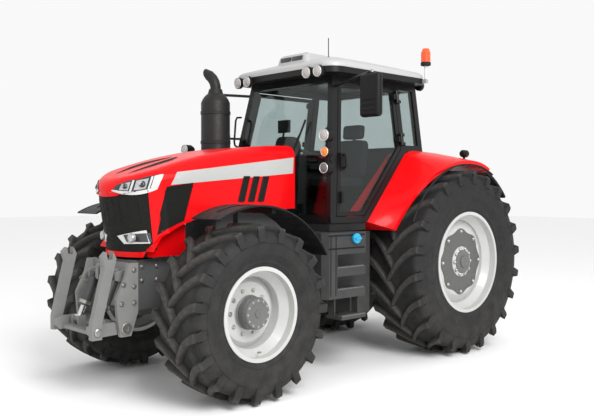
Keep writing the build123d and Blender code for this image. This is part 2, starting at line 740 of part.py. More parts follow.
def door_glass_left():
    leaf = shrunk(wall_face(DOOR_OUTLINE), SWING_GAP + DOOR_BORDER + SKIN_GAP)
    return wall_panel(leaf, 12, GLASS)


def cab_floor():
    low, top = SILL_Z - FRAME_WIDTH * 0.85 - FLOOR_THICKNESS, SILL_Z - FRAME_WIDTH * 0.85
    wide = CAB_HALF_WIDTH - 10
    narrow = FENDER_WALL_Y
    half_outline = [
        (PILLAR_FOOT_X, 0),
        (PILLAR_FOOT_X, wide),
        (SILL_FOOT_X + 20, wide),
        (SILL_FOOT_X + 20, narrow),
        (CAB_REAR_X, narrow),
        (CAB_REAR_X, 0),
    ]
    outline = half_outline + [(x, -y) for x, y in reversed(half_outline) if y > 0]
    floor = plan_prism(outline, low, top)
    stand = block(CAB_REAR_X, REAR_POST_X + 360, -narrow, narrow, top, top + 180)
    wall = block(CAB_REAR_X, CAB_REAR_X + FRAME_DEPTH, -narrow, narrow, top, SHOULDER_Z)
    return floor + stand + wall - cab_frame()


def cab_mounts():
    low = SILL_Z - FRAME_WIDTH * 0.85 - FLOOR_THICKNESS
    middle_x = HOUSING_REAR_X + 860
    rear = block(middle_x - 180, middle_x - 60, 140, 260, HOUSING_TOP_Z, low)
    front = block(ENGINE_REAR_X - 160, ENGINE_REAR_X - 40, 100, 220, GEARBOX_TOP_Z, low)
    return two_sides(rear + front)


def roof_plan(inset, z):
    middle = (ROOF_FRONT_X + ROOF_REAR_X) / 2
    length = ROOF_FRONT_X - ROOF_REAR_X - 2 * inset
    return Pos(middle, 0, z) * RectangleRounded(length, 2 * (ROOF_HALF_WIDTH - inset), 180 - inset / 2)


RIM_TOP_Z = CAB_TOP_Z + ROOF_RIM_HEIGHT


def roof_rim():
    return extrude(roof_plan(0, CAB_TOP_Z), amount=ROOF_RIM_HEIGHT)


def cab_roof():
    rise = (ROOF_TOP_Z - RIM_TOP_Z) * 0.35
    band = extrude(roof_plan(6, RIM_TOP_Z), amount=rise, taper=14)
    dome = extrude(roof_plan(26, RIM_TOP_Z + rise), amount=ROOF_TOP_Z - RIM_TOP_Z - rise, taper=52)
    return band + dome


def seat():
    floor_z = SILL_Z - FRAME_WIDTH * 0.85 + 180
    x = REAR_POST_X + 40
    pedestal = block(x + 60, x + 300, -170, 170, floor_z, floor_z + 160)
    cushion = block(x - 20, x + 480, -255, 255, floor_z + 160, floor_z + 290)
    back = side_prism([
        (x - 20, floor_z + 290), (x + 100, floor_z + 290), (x + 20, floor_z + 900), (x - 80, floor_z + 900)
    ], -240, 240)
    arm = block(x + 40, x + 420, -330, -255, floor_z + 380, floor_z + 440)
    arm += block(x - 20, x + 100, -330, -235, floor_z + 330, floor_z + 440)
    return pedestal + cushion + back + arm


STEERING_TOP = (1400, 2180)


def steering():
    floor_z = SILL_Z - FRAME_WIDTH * 0.85
    foot = (STEERING_TOP[0] + 230, 0, floor_z)
    top = (STEERING_TOP[0], 0, STEERING_TOP[1])
    run = Vector(*top) - Vector(*foot)
    column = rod(foot, top, 55) - block(foot[0] - 300, foot[0] + 300, -300, 300, floor_z - 200, floor_z)
    wheel_plane = Plane(origin=top, z_dir=run)
    wheel = wheel_plane * Torus(200, 17)
    for turn in (90, 210, 330):
        wheel += wheel_plane * Rot(0, 0, turn) * Pos(100, 0, -8) * Box(200, 34, 16)
    return column + wheel


def console():
    floor_z = SILL_Z - FRAME_WIDTH * 0.85
    dash = block(STEERING_TOP[0] + 130, STEERING_TOP[0] + 250, -230, -70, floor_z, floor_z + 560)
    dash += block(STEERING_TOP[0] + 130, STEERING_TOP[0] + 250, 70, 230, floor_z, floor_z + 560)
    dash += block(STEERING_TOP[0] + 130, STEERING_TOP[0] + 240, -230, 230, floor_z + 560, floor_z + 680)
    side = block(REAR_POST_X + 60, REAR_POST_X + 700, -FENDER_WALL_Y, -360, floor_z + 180, floor_z + 700)
    return dash - rod((STEERING_TOP[0] + 230, 0, floor_z), (STEERING_TOP[0], 0, STEERING_TOP[1]), 60) + side


# Fenders

LIP_TILT = atan2(LIP_LEAN, 1)
LIP_PLANE = Plane(
    origin=(0, LIP_Y, LIP_Z), x_dir=(1, 0, 0), z_dir=(0, -cos(LIP_TILT), sin(LIP_TILT))
)
FENDER_EDGE = [
    (BELT_X + 40, SHOULDER_Z - 40),
    (BELT_X - 60, SHOULDER_Z + 5),
    (BELT_X - 300, SHOULDER_Z + 12),
    (BELT_X - 640, SHOULDER_Z - 10),
    (BELT_X - 960, SHOULDER_Z - 130),
]


def polar(point):
    return atan2(point[1] - REAR_HUB_Z, point[0])


def around(radius, angle):
    return (radius * cos(angle), REAR_HUB_Z + radius * sin(angle))


def flat_section(points, plane, base_z, tilt):
    """A closed section of lines and splines from runs of (x, z) points, laid on a leaning plane."""
    edges = []
    for run in points:
        local = [(x, (z - base_z) / cos(tilt)) for x, z in run]
        edges.append(Spline(*local) if len(local) > 2 else Line(*local))
    return plane * make_face(edges)


FENDER_FOOT = (SILL_FOOT_X + 10, FENDER_FOOT_Z)


def fender_sections():
    corner = FENDER_EDGE[0]
    inner_radius = ARCH_RADIUS - 70
    turns = [polar(p) for p in FENDER_EDGE]
    foot_turn, corner_turn = polar(FENDER_FOOT), turns[0]
    front_turns = [foot_turn + (corner_turn - foot_turn) * i / 4 for i in range(5)]
    under = [around(inner_radius, a) for a in reversed(front_turns + turns[1:])]
    wall_runs = [
        [FENDER_FOOT, corner],
        FENDER_EDGE,
        [FENDER_EDGE[-1], under[0]],
        under,
        [under[-1], FENDER_FOOT],
    ]
    lip_front = [around(LIP_RADIUS, a) for a in front_turns]
    lip_rear = [around(LIP_RADIUS, a) for a in turns]
    lip_runs = [
        lip_front,
        lip_rear,
        [lip_rear[-1], under[0]],
        under,
        [under[-1], lip_front[0]],
    ]
    wall = flat_section(wall_runs, WALL_PLANE, SILL_Z, LEAN)
    lip = flat_section(lip_runs, LIP_PLANE, LIP_Z, LIP_TILT)
    return wall, lip


def rear_fender_left():
    wall, lip = fender_sections()
    skin = loft([wall, lip], ruled=True)
    inside = extrude(wall, amount=CAB_HALF_WIDTH, dir=(0, -1, 0))
    inside &= block(-3000, 3000, FENDER_WALL_Y, 3000, 0, 4000)
    arch = rod((0, 0, REAR_HUB_Z), (0, 2000, REAR_HUB_Z), ARCH_RADIUS)
    return skin + inside - arch - cab_frame()


def fender_extensions():
    start = polar(FENDER_EDGE[-1])
    turns = [start + radians(27) * i / 6 for i in range(7)]
    low = [around(ARCH_RADIUS + 4, a) for a in turns]
    high = [around(ARCH_RADIUS + 30, a) for a in reversed(turns)]
    return two_sides(side_prism(low + high, FENDER_WALL_Y + 80, LIP_Y - 60))


# Tanks, steps and boxes beside the backbone

TANK_FRONT_X = 2015
TANK_REAR_X = 1450
TANK_INNER_Y = 440
TANK_OUTER_Y = 1000
TANK_TOP_Z = SILL_Z - FRAME_WIDTH * 0.85 - FLOOR_THICKNESS - 5
TANK_BOTTOM_Z = 760


def step_tank():
    tank = plan_prism([
        (TANK_REAR_X, TANK_INNER_Y),
        (TANK_FRONT_X - 150, TANK_INNER_Y),
        (TANK_FRONT_X, TANK_INNER_Y + 230),
        (TANK_FRONT_X, TANK_OUTER_Y - 60),
        (TANK_FRONT_X - 50, TANK_OUTER_Y),
        (TANK_REAR_X, TANK_OUTER_Y),
    ], TANK_BOTTOM_Z, TANK_TOP_Z)
    pitch = (TANK_TOP_Z - TANK_BOTTOM_Z) / 3
    for level in (1, 2):
        z = TANK_BOTTOM_Z + pitch * level
        tank -= block(TANK_REAR_X - 10, TANK_FRONT_X - 160, TANK_OUTER_Y - 170, TANK_OUTER_Y + 10, z - 130, z)
    tread = block(TANK_REAR_X + 60, TANK_FRONT_X - 160, TANK_OUTER_Y - 150, TANK_OUTER_Y + 60, 560, 590)
    for x in (TANK_REAR_X + 60, TANK_FRONT_X - 175):
        tread += block(x, x + 15, TANK_OUTER_Y - 120, TANK_OUTER_Y - 40, 560, TANK_BOTTOM_Z)
    bracket = block(TANK_REAR_X + 50, TANK_REAR_X + 200, GEARBOX_HALF_WIDTH, TANK_INNER_Y, 900, 1050)
    return tank + tread + bracket


def side_box():
    front = TANK_REAR_X - 10
    box = block(front - 300, front, TANK_INNER_Y, TANK_OUTER_Y - 220, 540, FENDER_FOOT_Z - 100)
    return box + block(front - 200, front - 80, GEARBOX_HALF_WIDTH, TANK_INNER_Y, 900, 1050)


# Exhaust, mirrors, lamps and roof fittings

EXHAUST_X = 2050
EXHAUST_Y = -665
EXHAUST_RADIUS = 160


def exhaust():
    can = rod((EXHAUST_X, EXHAUST_Y, 1590), (EXHAUST_X, EXHAUST_Y, 2830), EXHAUST_RADIUS)
    neck = Pos(EXHAUST_X, EXHAUST_Y, 2870) * Cone(EXHAUST_RADIUS * 0.8, 75, 80)
    pipe = rod((EXHAUST_X, EXHAUST_Y, 2900), (EXHAUST_X, EXHAUST_Y - 30, 3000), 62)
    pipe += rod((EXHAUST_X, EXHAUST_Y - 25, 2980), (EXHAUST_X + 30, EXHAUST_Y - 120, 3080), 62)
    bracket = block(
        EXHAUST_X - 80, EXHAUST_X + 80, EXHAUST_Y - 60, -ENGINE_HALF_WIDTH, 1500, 1590
    )
    return can + neck + pipe + bracket


MIRROR_Y = 1250
MIRROR_Z = 2705


def mirror_left():
    root = (PILLAR_TOP_X - 20, CAB_HALF_WIDTH - CAB_TUMBLEHOME * (2860 - SILL_Z) - 20, 2860)
    elbow = (1650, MIRROR_Y, 2925)
    arm = rod(root, elbow, 17) + (Pos(*elbow) * Sphere(24)) + rod(elbow, (1650, MIRROR_Y, 2850), 17)
    head = block(1610, 1690, MIRROR_Y - 110, MIRROR_Y + 110, MIRROR_Z - 205, MIRROR_Z + 195)
    return arm + head - cab_frame()


def lamp(point, radius, depth, aim):
    return Plane(origin=point, z_dir=aim) * Cylinder(radius, depth)


def pillar_lamps():
    x = PILLAR_FOOT_X - WINDSCREEN_RAKE * (2140 - SILL_Z) + 95
    y = CAB_HALF_WIDTH - CAB_TUMBLEHOME * (2140 - SILL_Z)
    tube = rod((x - 20, y + 20, 1960), (x - 20, y + 20, 2420), 16)
    for z in (2000, 2380):
        tube += bar((x - 20, y + 20, z), (x - 150, y - 20, z), 24, 24, (0, 0, 1))
    lamps = lamp((x + 25, y + 60, 2340), 62, 90, (1, 0.1, 0)) + lamp((x + 20, y + 60, 2180), 48, 80, (1, 0.1, 0))
    lamps += lamp((x + 25, y + 60, 2020), 62, 90, (1, 0.1, 0))
    return two_sides(tube + lamps - cab_frame())


def roof_lamps():
    lamps = Part()
    for y in (470, 630):
        lamps += lamp((ROOF_FRONT_X + 20, y, CAB_TOP_Z + 10), 62, 40, (1, 0, -0.1)) & block(
            ROOF_FRONT_X, ROOF_FRONT_X + 100, 0, 1000, 0, 4000
        )
        lamps += lamp((ROOF_REAR_X - 20, y, CAB_TOP_Z + 10), 55, 40, (-1, 0, -0.1)) & block(
            ROOF_REAR_X - 100, ROOF_REAR_X, 0, 1000, 0, 4000
        )
    return two_sides(lamps)


def fender_lamps():
    z = SHOULDER_Z - 20
    return two_sides(rod((-100, 1000, z - 60), (-100, 1000, z + 60), 70) - rear_fender_left())


def beacon():
    x, y = ROOF_REAR_X + 120, ROOF_HALF_WIDTH + 25
    stalk = bar((x, ROOF_HALF_WIDTH - 60, CAB_TOP_Z + 30), (x, y + 20, CAB_TOP_Z + 30), 40, 40, (1, 0, 0))
    stalk += rod((x, y, CAB_TOP_Z + 30), (x, y, 3190), 16)
    lens = rod((x, y, 3190), (x, y, 3330), 52) + Pos(x, y, 3330) * Cone(52, 36, 40, align=(Align.CENTER, Align.CENTER, Align.MIN))
    return stalk - roof_rim() + lens


def antenna():
    x = ROOF_FRONT_X * 0.56
    return rod((x, 0, ROOF_TOP_Z), (x, 0, ROOF_TOP_Z + 30), 22) + rod((x, 0, ROOF_TOP_Z), (x, 0, 3510), 5)


# Front linkage

PLATE_Y = 330
PLATE_THICKNESS = 40
SHAFT_RADIUS = 38
CYLINDER_Y = 170
CYLINDER_TOP = (3770, 1060)
CYLINDER_EYE = (3935, 668)
CYLINDER_RADIUS = 48
PISTON_RADIUS = 26


def front_frame():
    back = SUPPORT_FRONT_X
    outline = [
        (back, 1180), (back + 90, 1180), (back + 120, 1060), (FRONT_PIVOT_X + 90, 880),
        (FRONT_PIVOT_X + 75, 700), (FRONT_PIVOT_X + 50, 560), (FRONT_PIVOT_X - 50, 560), (back, 760),
    ]
    plate = side_prism(outline, PLATE_Y, PLATE_Y + PLATE_THICKNESS)
    frame = plate + mirror(plate, about=Plane.XZ)
    frame += block(back, back + 45, -PLATE_Y, PLATE_Y, 780, 1170)
    bore_end = PLATE_Y + 2 * PLATE_THICKNESS
    frame -= rod(
        (FRONT_PIVOT_X, -bore_end, FRONT_PIVOT_Z), (FRONT_PIVOT_X, bore_end, FRONT_PIVOT_Z), SHAFT_RADIUS + RUNNING_FIT
    )
    x, z = CYLINDER_TOP
    for side in (-1, 1):
        for inner in (-75, 45):
            low = side * CYLINDER_Y + inner
            frame += side_prism([(back + 40, z - 60), (x + 30, z - 35), (x + 30, z + 35), (back + 40, z + 60)], low, low + 30)
        frame += rod((x, side * CYLINDER_Y - 75, z), (x, side * CYLINDER_Y + 75, z), 20)
    hook = block(back + 40, back + 170, -45, -20, 1020, 1160) + block(back + 40, back + 170, 20, 45, 1020, 1160)
    hook -= rod((back + 120, -100, 1100), (back + 120, 100, 1100), 16)
    return frame + hook


def front_lift():
    x, z = FRONT_PIVOT_X, FRONT_PIVOT_Z
    tip = x + FRONT_ARM_REACH
    end = PLATE_Y + PLATE_THICKNESS
    lift = rod((x, -end, z), (x, end, z), SHAFT_RADIUS)
    for y in (PLATE_Y - 50, 10 - PLATE_Y):
        lift += side_prism([
            (x - 50, z - 45), (x + 20, z - 50), (tip, z - 60), (tip + 50, z - 20), (tip + 50, z + 40),
            (tip, z + 60), (x + 20, z + 50), (x - 50, z + 45),
        ], y, y + 40)
    lift += block(x + 150, x + 260, 50 - PLATE_Y, PLATE_Y - 50, z - 45, z - 15)
    eye_x, eye_z = CYLINDER_EYE
    for side in (-1, 1):
        for inner in (-75, 45):
            low = side * CYLINDER_Y + inner
            lift += block(eye_x - 30, eye_x + 40, low, low + 30, z - 45, eye_z + 32)
        lift += rod((eye_x, side * CYLINDER_Y - 75, eye_z), (eye_x, side * CYLINDER_Y + 75, eye_z), 20)
    return lift


def front_links():
    x, z = FRONT_PIVOT_X + FRONT_ARM_REACH, FRONT_PIVOT_Z
    low_y = PLATE_Y - 10
    top = z + LINK_HEIGHT
    lean = -115
    blade = side_prism([
        (FRONT_TIP_X, z - 65), (FRONT_TIP_X, z + 60), (x + 45 + lean, top - 120), (x + 70 + lean, top - 40),
        (x + 30 + lean, top), (x + 20 + lean, top - 70), (x - 25 + lean, top - 65), (x - 30 + lean, top),
        (x - 62 + lean, top - 60), (x - 45 + lean, top - 130), (x - 40, z + 60), (x - 40, z - 65),
    ], low_y, low_y + 60)
    return two_sides(blade)


def cylinder_run():
    return Vector(CYLINDER_EYE[0] - CYLINDER_TOP[0], 0, CYLINDER_EYE[1] - CYLINDER_TOP[1])


def front_cylinders():
    start = Vector(CYLINDER_TOP[0], CYLINDER_Y, CYLINDER_TOP[1])
    run = cylinder_run()
    along = run.normalized()
    end = start + along * (run.length * 0.72)
    barrel = rod(start + along * 45, end, CYLINDER_RADIUS)
    eye = rod((start.X, CYLINDER_Y - 40, start.Z), (start.X, CYLINDER_Y + 40, start.Z), 38)
    bore = rod((start.X, CYLINDER_Y - 99, start.Z), (start.X, CYLINDER_Y + 99, start.Z), 20 + RUNNING_FIT)
    seat = rod(start + along * (run.length * 0.3), end + along * 10, PISTON_RADIUS + RUNNING_FIT)
    return two_sides(barrel + rod(start, start + along * 60, 30) + eye - bore - seat)


def front_rods():
    start = Vector(CYLINDER_TOP[0], CYLINDER_Y, CYLINDER_TOP[1])
    run = cylinder_run()
    along = run.normalized()
    end = start + run
    piston = rod(start + along * (run.length * 0.34), end, PISTON_RADIUS)
    eye = rod((end.X, CYLINDER_Y - 40, end.Z), (end.X, CYLINDER_Y + 40, end.Z), 34)
    hole = rod((end.X, CYLINDER_Y - 99, end.Z), (end.X, CYLINDER_Y + 99, end.Z), 26)
    return two_sides(piston + eye - hole)


# Rear linkage

LINK_SPREAD_FRONT = 330
LINK_SPREAD_REAR = 440
LINK_PIN_RADIUS = 24
BALL_BORE = 18.7
LIFT_ARM_Y = 395
ROD_FOOT = (-900, 615)


def lower_pivot(y):
    return (LOWER_PIVOT_X, y, LOWER_PIVOT_Z)


def rear_hitch():
    back = HOUSING_REAR_X
    frame = block(back - 40, back, -HOUSING_HALF_WIDTH, HOUSING_HALF_WIDTH, 470, 760)
    for side in (-1, 1):
        y = side * LINK_SPREAD_FRONT
        for inner in (-65, 40):
            frame += block(LOWER_PIVOT_X - 40, back, y + inner, y + inner + 25, LOWER_PIVOT_Z - 50, LOWER_PIVOT_Z + 50)
        frame += block(back - 40, back, y - 65, y + 65, LOWER_PIVOT_Z - 50, LOWER_PIVOT_Z + 50)
        frame += rod((LOWER_PIVOT_X, y - 65, LOWER_PIVOT_Z), (LOWER_PIVOT_X, y + 65, LOWER_PIVOT_Z), LINK_PIN_RADIUS)
    drawbar = block(back - 560, back, -55, 55, 440, 500)
    drawbar -= rod((back - 500, 0, 400), (back - 500, 0, 600), 16.5)
    shaft = rod((back - 40, 0, 690), (back - 150, 0, 690), 17.5)
    guard = block(back - 200, back - 40, -120, 120, 775, 790)
    guard += block(back - 60, back - 40, -120, 120, 740, 790)
    bracket = block(back - 120, back, -60, -30, 1000, 1200) + block(back - 120, back, 30, 60, 1000, 1200)
    bracket += rod((back - 80, -60, 1150), (back - 80, 60, 1150), 16)
    return frame + drawbar + shaft + guard + bracket


def top_link():
    x, z = HOUSING_REAR_X - 80, 1150
    eye = rod((x, -25, z), (x, 25, z), 34)
    tube = rod((x - 12, 0, z - 20), (x - 40, 0, 880), 26)
    hook = rod((x - 42, -22, 860), (x - 42, 22, 860), 40)
    bore = rod((x, -60, z), (x, 60, z), 16 + SKIN_GAP)
    return eye + tube + hook - bore - rod((x - 42, -60, 860), (x - 42, 60, 860), 16)


def lower_links():
    links = Part()
    y0, y1 = LINK_SPREAD_FRONT, LINK_SPREAD_REAR
    eye_x = REAR_TIP_X + 60
    front_eye = rod((LOWER_PIVOT_X, y0 - 32, LOWER_PIVOT_Z), (LOWER_PIVOT_X, y0 + 32, LOWER_PIVOT_Z), 46)
    shank = bar((LOWER_PIVOT_X - 35, y0, LOWER_PIVOT_Z), (eye_x + 40, y1, LOWER_PIVOT_Z - 10), 32, 90)
    rear_eye = rod((eye_x, y1 - 28, LOWER_PIVOT_Z - 10), (eye_x, y1 + 28, LOWER_PIVOT_Z - 10), 60)
    link = front_eye + shank + rear_eye
    link += rod((ROD_FOOT[0], (y0 + y1) / 2, ROD_FOOT[1]), (ROD_FOOT[0], LIFT_ARM_Y + 78, ROD_FOOT[1]), 18)
    link -= rod((LOWER_PIVOT_X, y0 - 90, LOWER_PIVOT_Z), (LOWER_PIVOT_X, y0 + 90, LOWER_PIVOT_Z), LINK_PIN_RADIUS + RUNNING_FIT)
    link -= rod((eye_x, y1 - 90, LOWER_PIVOT_Z - 10), (eye_x, y1 + 90, LOWER_PIVOT_Z - 10), BALL_BORE)
    return two_sides(link)


def lift_arms():
    x, z = LIFT_SHAFT_X, LIFT_SHAFT_Z
    tip = x - LIFT_ARM_LENGTH
    shaft = rod((x, -LIFT_ARM_Y - 20, z), (x, LIFT_ARM_Y + 20, z), 40)
    arms = shaft
    for y in (LIFT_ARM_Y - 20, -LIFT_ARM_Y - 20):
        arms += side_prism([
            (x + 60, z - 55), (x + 60, z + 55), (x - 40, z + 65), (tip - 40, z + 32), (tip - 40, z - 32), (x - 40, z - 65)
        ], y, y + 40)
    for side in (-1, 1):
        arms += rod((tip, side * LIFT_ARM_Y, z), (tip, side * (LIFT_ARM_Y + 78), z), 18)
    return arms


def lift_bearings():
    x, z = LIFT_SHAFT_X, LIFT_SHAFT_Z
    stand = Part()
    for y in (-270, 190):
        stand += block(x - 70, x + 70, y, y + 80, HOUSING_TOP_Z, z + 65)
    return stand - rod((x, -400, z), (x, 400, z), 40 + RUNNING_FIT)


def lift_rods():
    tip = LIFT_SHAFT_X - LIFT_ARM_LENGTH
    y = LIFT_ARM_Y + 50
    top = (tip, y, LIFT_SHAFT_Z)
    foot = (ROD_FOOT[0], y, ROD_FOOT[1])
    body = rod((tip, y - 24, LIFT_SHAFT_Z), (tip, y + 24, LIFT_SHAFT_Z), 36)
    body += rod(top, foot, 22) + rod((foot[0], y - 20, foot[2]), (foot[0], y + 20, foot[2]), 40)
    body -= rod((tip, y - 90, LIFT_SHAFT_Z), (tip, y + 90, LIFT_SHAFT_Z), 18 + RUNNING_FIT)
    body -= rod((foot[0], y - 90, foot[2]), (foot[0], y + 90, foot[2]), 26)
    return two_sides(body)


def right(make):
    return lambda: mirror(make(), about=Plane.XZ)


def rear_tyre_left():
    ring = tyre(REAR_TYRE_RADIUS, REAR_TYRE_WIDTH, REAR_BEAD_RADIUS, REAR_RIM_WIDTH, REAR_FACETS)
    return REAR_WHEEL_PLACE * ring


def front_tyre_left():
    ring = tyre(FRONT_TYRE_RADIUS, FRONT_TYRE_WIDTH, FRONT_BEAD_RADIUS, FRONT_RIM_WIDTH, FRONT_FACETS)
    return FRONT_WHEEL_PLACE * ring


def rear_wheel_left():
    return REAR_WHEEL_PLACE * rear_wheel()


def front_wheel_left():
    return FRONT_WHEEL_PLACE * front_wheel()


MAKERS = {
    "engine": lambda: engine() + radiator() + bonnet_hinge(),
    "transmission": lambda: transmission() + lift_bearings() + rear_axle(),
    "front_support": front_support,
    "front_axle": front_axle,
    "knuckle_left": knuckle,
    "knuckle_right": right(knuckle),
    "front_guard_left": front_guard,
    "front_guard_right": right(front_guard),
    "rear_tyre_left": rear_tyre_left,
    "rear_tyre_right": right(rear_tyre_left),
    "front_tyre_left": front_tyre_left,
    "front_tyre_right": right(front_tyre_left),
    "rear_wheel_left": rear_wheel_left,
    "rear_wheel_right": right(rear_wheel_left),
    "front_wheel_left": front_wheel_left,
    "front_wheel_right": right(front_wheel_left),
    "bonnet": bonnet,
    "grilles": lambda: grille() + side_grilles(),
    "headlamps": headlamps,
    "cab_frame": cab_frame,
    "cab_floor": lambda: cab_floor() + cab_mounts(),
    "roof_rim": lambda: roof_rim() + antenna(),
    "cab_roof": cab_roof,
    "cab_glass": lambda: windscreen() + rear_window() + quarter_windows(),
    "door_left": door_left,
    "door_right": right(door_left),
    "door_glass_left": door_glass_left,
    "door_glass_right": right(door_glass_left),
    "seat": seat,
    "console": lambda: console() + steering(),
    "rear_fenders": lambda: two_sides(rear_fender_left()),
    "fender_extensions": fender_extensions,
    "step_tanks": lambda: two_sides(step_tank()) + side_box(),
    "exhaust": exhaust,
    "mirrors": lambda: two_sides(mirror_left()),
    "work_lamps": lambda: pillar_lamps() + roof_lamps(),
    "beacon": beacon,
    "front_frame": front_frame,
    "front_lift": lambda: front_lift() + front_links(),
    "front_cylinders": front_cylinders,
    "front_rods": front_rods,
    "rear_hitch": lambda: rear_hitch() + top_link(),
    "lower_links": lower_links,
    "lift_arms": lift_arms,
    "lift_rods": lift_rods,
}


def main():
    for name, make in MAKERS.items():
        export_step(Pos(-MIDDLE_X, 0, 0) * make(), f"parts/{name}.step")


if __name__ == "__main__":
    main()
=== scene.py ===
from math import cos, pi, radians, sin

import bmesh
import bpy
from mathutils import Matrix, Vector
from mathutils.bvhtree import BVHTree


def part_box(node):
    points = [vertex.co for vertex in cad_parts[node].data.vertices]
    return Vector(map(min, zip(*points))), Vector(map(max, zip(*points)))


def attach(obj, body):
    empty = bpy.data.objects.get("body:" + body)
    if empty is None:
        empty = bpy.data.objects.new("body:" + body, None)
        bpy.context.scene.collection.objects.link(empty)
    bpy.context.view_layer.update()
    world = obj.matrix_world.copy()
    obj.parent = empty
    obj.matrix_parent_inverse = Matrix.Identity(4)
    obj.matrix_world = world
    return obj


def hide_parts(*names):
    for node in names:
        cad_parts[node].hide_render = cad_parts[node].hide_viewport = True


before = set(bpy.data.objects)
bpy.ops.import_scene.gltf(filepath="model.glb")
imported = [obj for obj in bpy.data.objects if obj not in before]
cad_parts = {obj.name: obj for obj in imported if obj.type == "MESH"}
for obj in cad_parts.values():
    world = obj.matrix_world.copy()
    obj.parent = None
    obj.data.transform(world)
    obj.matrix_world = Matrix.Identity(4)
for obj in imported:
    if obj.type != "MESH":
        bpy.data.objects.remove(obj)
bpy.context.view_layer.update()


# Backbone castings: the engine block, gearbox and rear axle housing, front support, front axle and
# steering knuckles. Cast iron under one coat of grey paint, bolted end to end, dusty underneath.
def noise(tree, place, scale, detail):
    """Fractal noise over the piece's own place, as a value."""
    node = tree.nodes.new("ShaderNodeTexNoise")
    node.inputs["Scale"].default_value = scale
    node.inputs["Detail"].default_value = detail
    tree.links.new(place, node.inputs["Vector"])
    return node.outputs["Fac"]


def spread(tree, value, low, high, to_low, to_high):
    """A value's range stretched to another, and held at its ends."""
    node = tree.nodes.new("ShaderNodeMapRange")
    for index, number in enumerate((low, high, to_low, to_high)):
        node.inputs[index + 1].default_value = number
    tree.links.new(value, node.inputs[0])
    return node.outputs[0]


def mix(tree, factor, first, second):
    """Two colours, fixed or linked, mixed by a factor."""
    node = tree.nodes.new("ShaderNodeMix")
    node.data_type = "RGBA"
    for socket, colour in ((node.inputs[6], first), (node.inputs[7], second)):
        if isinstance(colour, bpy.types.NodeSocket):
            tree.links.new(colour, socket)
        else:
            socket.default_value = (*colour, 1)
    tree.links.new(factor, node.inputs[0])
    return node.outputs[2]


def calc(tree, operation, first, second):
    """One step of arithmetic on linked values or plain numbers."""
    node = tree.nodes.new("ShaderNodeMath")
    node.operation = operation
    for socket, value in zip(node.inputs, (first, second)):
        if isinstance(value, bpy.types.NodeSocket):
            tree.links.new(value, socket)
        else:
            socket.default_value = value
    return node.outputs[0]


def along(tree, place, axis):
    """One coordinate of the place."""
    node = tree.nodes.new("ShaderNodeSeparateXYZ")
    tree.links.new(place, node.inputs[0])
    return node.outputs[axis]


DUST_BROWN = (0.22, 0.195, 0.165)
GRAIN_DEPTH = 0.002
CLEAR_COAT_ROUGH = 0.05


def finish(name, colour, rough=0.5, metal=0.0, cloud=0.12, cloud_size=6.0, grain=0.1, grain_size=220.0,
           dust=0.0, dust_top=1.0, coat=0.0, shine=0.5, pattern=None):
    """A paint, plastic or metal with colour clouds, uneven gloss, a fine grain and dust low down."""
    material = bpy.data.materials.new(name)
    material.use_nodes = True
    tree = material.node_tree
    shader = tree.nodes["Principled BSDF"]
    place = tree.nodes.new("ShaderNodeTexCoord").outputs["Object"]
    dark = [c * (1 - cloud) for c in colour]
    light = [min(1, c * (1 + cloud)) for c in colour]
    tint = mix(tree, noise(tree, place, cloud_size, 4.0), dark, light)
    if pattern:
        tint = pattern(tree, place, tint)
    if dust:
        low = spread(tree, along(tree, place, "Z"), dust_top, 0.0, 0.0, dust)
        patches = spread(tree, noise(tree, place, 9.0, 6.0), 0.35, 0.75, 0.15, 1.0)
        tint = mix(tree, calc(tree, "MULTIPLY", low, patches), tint, DUST_BROWN)
    tree.links.new(tint, shader.inputs["Base Color"])
    worn = noise(tree, place, cloud_size * 3, 5.0)
    gloss = spread(tree, worn, 0.3, 0.7, rough * 0.85, min(1, rough * 1.15))
    tree.links.new(gloss, shader.inputs["Roughness"])
    if grain:
        bump = tree.nodes.new("ShaderNodeBump")
        bump.inputs["Strength"].default_value = grain
        bump.inputs["Distance"].default_value = GRAIN_DEPTH
        tree.links.new(noise(tree, place, grain_size, 3.0), bump.inputs["Height"])
        tree.links.new(bump.outputs[0], shader.inputs["Normal"])
    shader.inputs["Metallic"].default_value = metal
    shader.inputs["Specular IOR Level"].default_value = shine
    shader.inputs["Coat Weight"].default_value = coat
    shader.inputs["Coat Roughness"].default_value = CLEAR_COAT_ROUGH
    return material


def dress(material, *nodes):
    """Gives CAD nodes their material."""
    for node in nodes:
        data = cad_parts[node].data
        data.materials.clear()
        data.materials.append(material)


def join(*shapes):
    """Several shapes, each points and faces, as one."""
    points, faces = [], []
    for more, rings in shapes:
        start = len(points)
        points += [Vector(p) for p in more]
        faces += [[i + start for i in ring] for ring in rings]
    return points, faces


def flipped(shape):
    """The mirror image of a left shape, on the right."""
    return [Vector((x, -y, z)) for x, y, z in shape[0]], [list(reversed(ring)) for ring in shape[1]]


def both(*shapes):
    """Left shapes with their mirror images."""
    left = join(*shapes)
    return join(left, flipped(left))


def aim(spot, way):
    """A place whose own Z points along the way given."""
    return Matrix.Translation(spot) @ Vector(way).to_track_quat("Z", "Y").to_matrix().to_4x4()


def quads(rings, count, round_rings=True, round_count=False):
    """Faces between neighbouring rings of points, each ring of the same count."""
    faces = []
    for k in range(rings if round_rings else rings - 1):
        a, b = k * count, (k + 1) % rings * count
        for i in range(count if round_count else count - 1):
            up = (i + 1) % count
            faces.append((a + i, b + i, b + up, a + up))
    return faces


def turned(profile, place, steps=32):
    """A profile of (radius, height) turned round a place's Z."""
    points = []
    for turn in [2 * pi * k / steps for k in range(steps)]:
        points += [place @ Vector((r * cos(turn), r * sin(turn), h)) for r, h in profile]
    return points, quads(steps, len(profile))


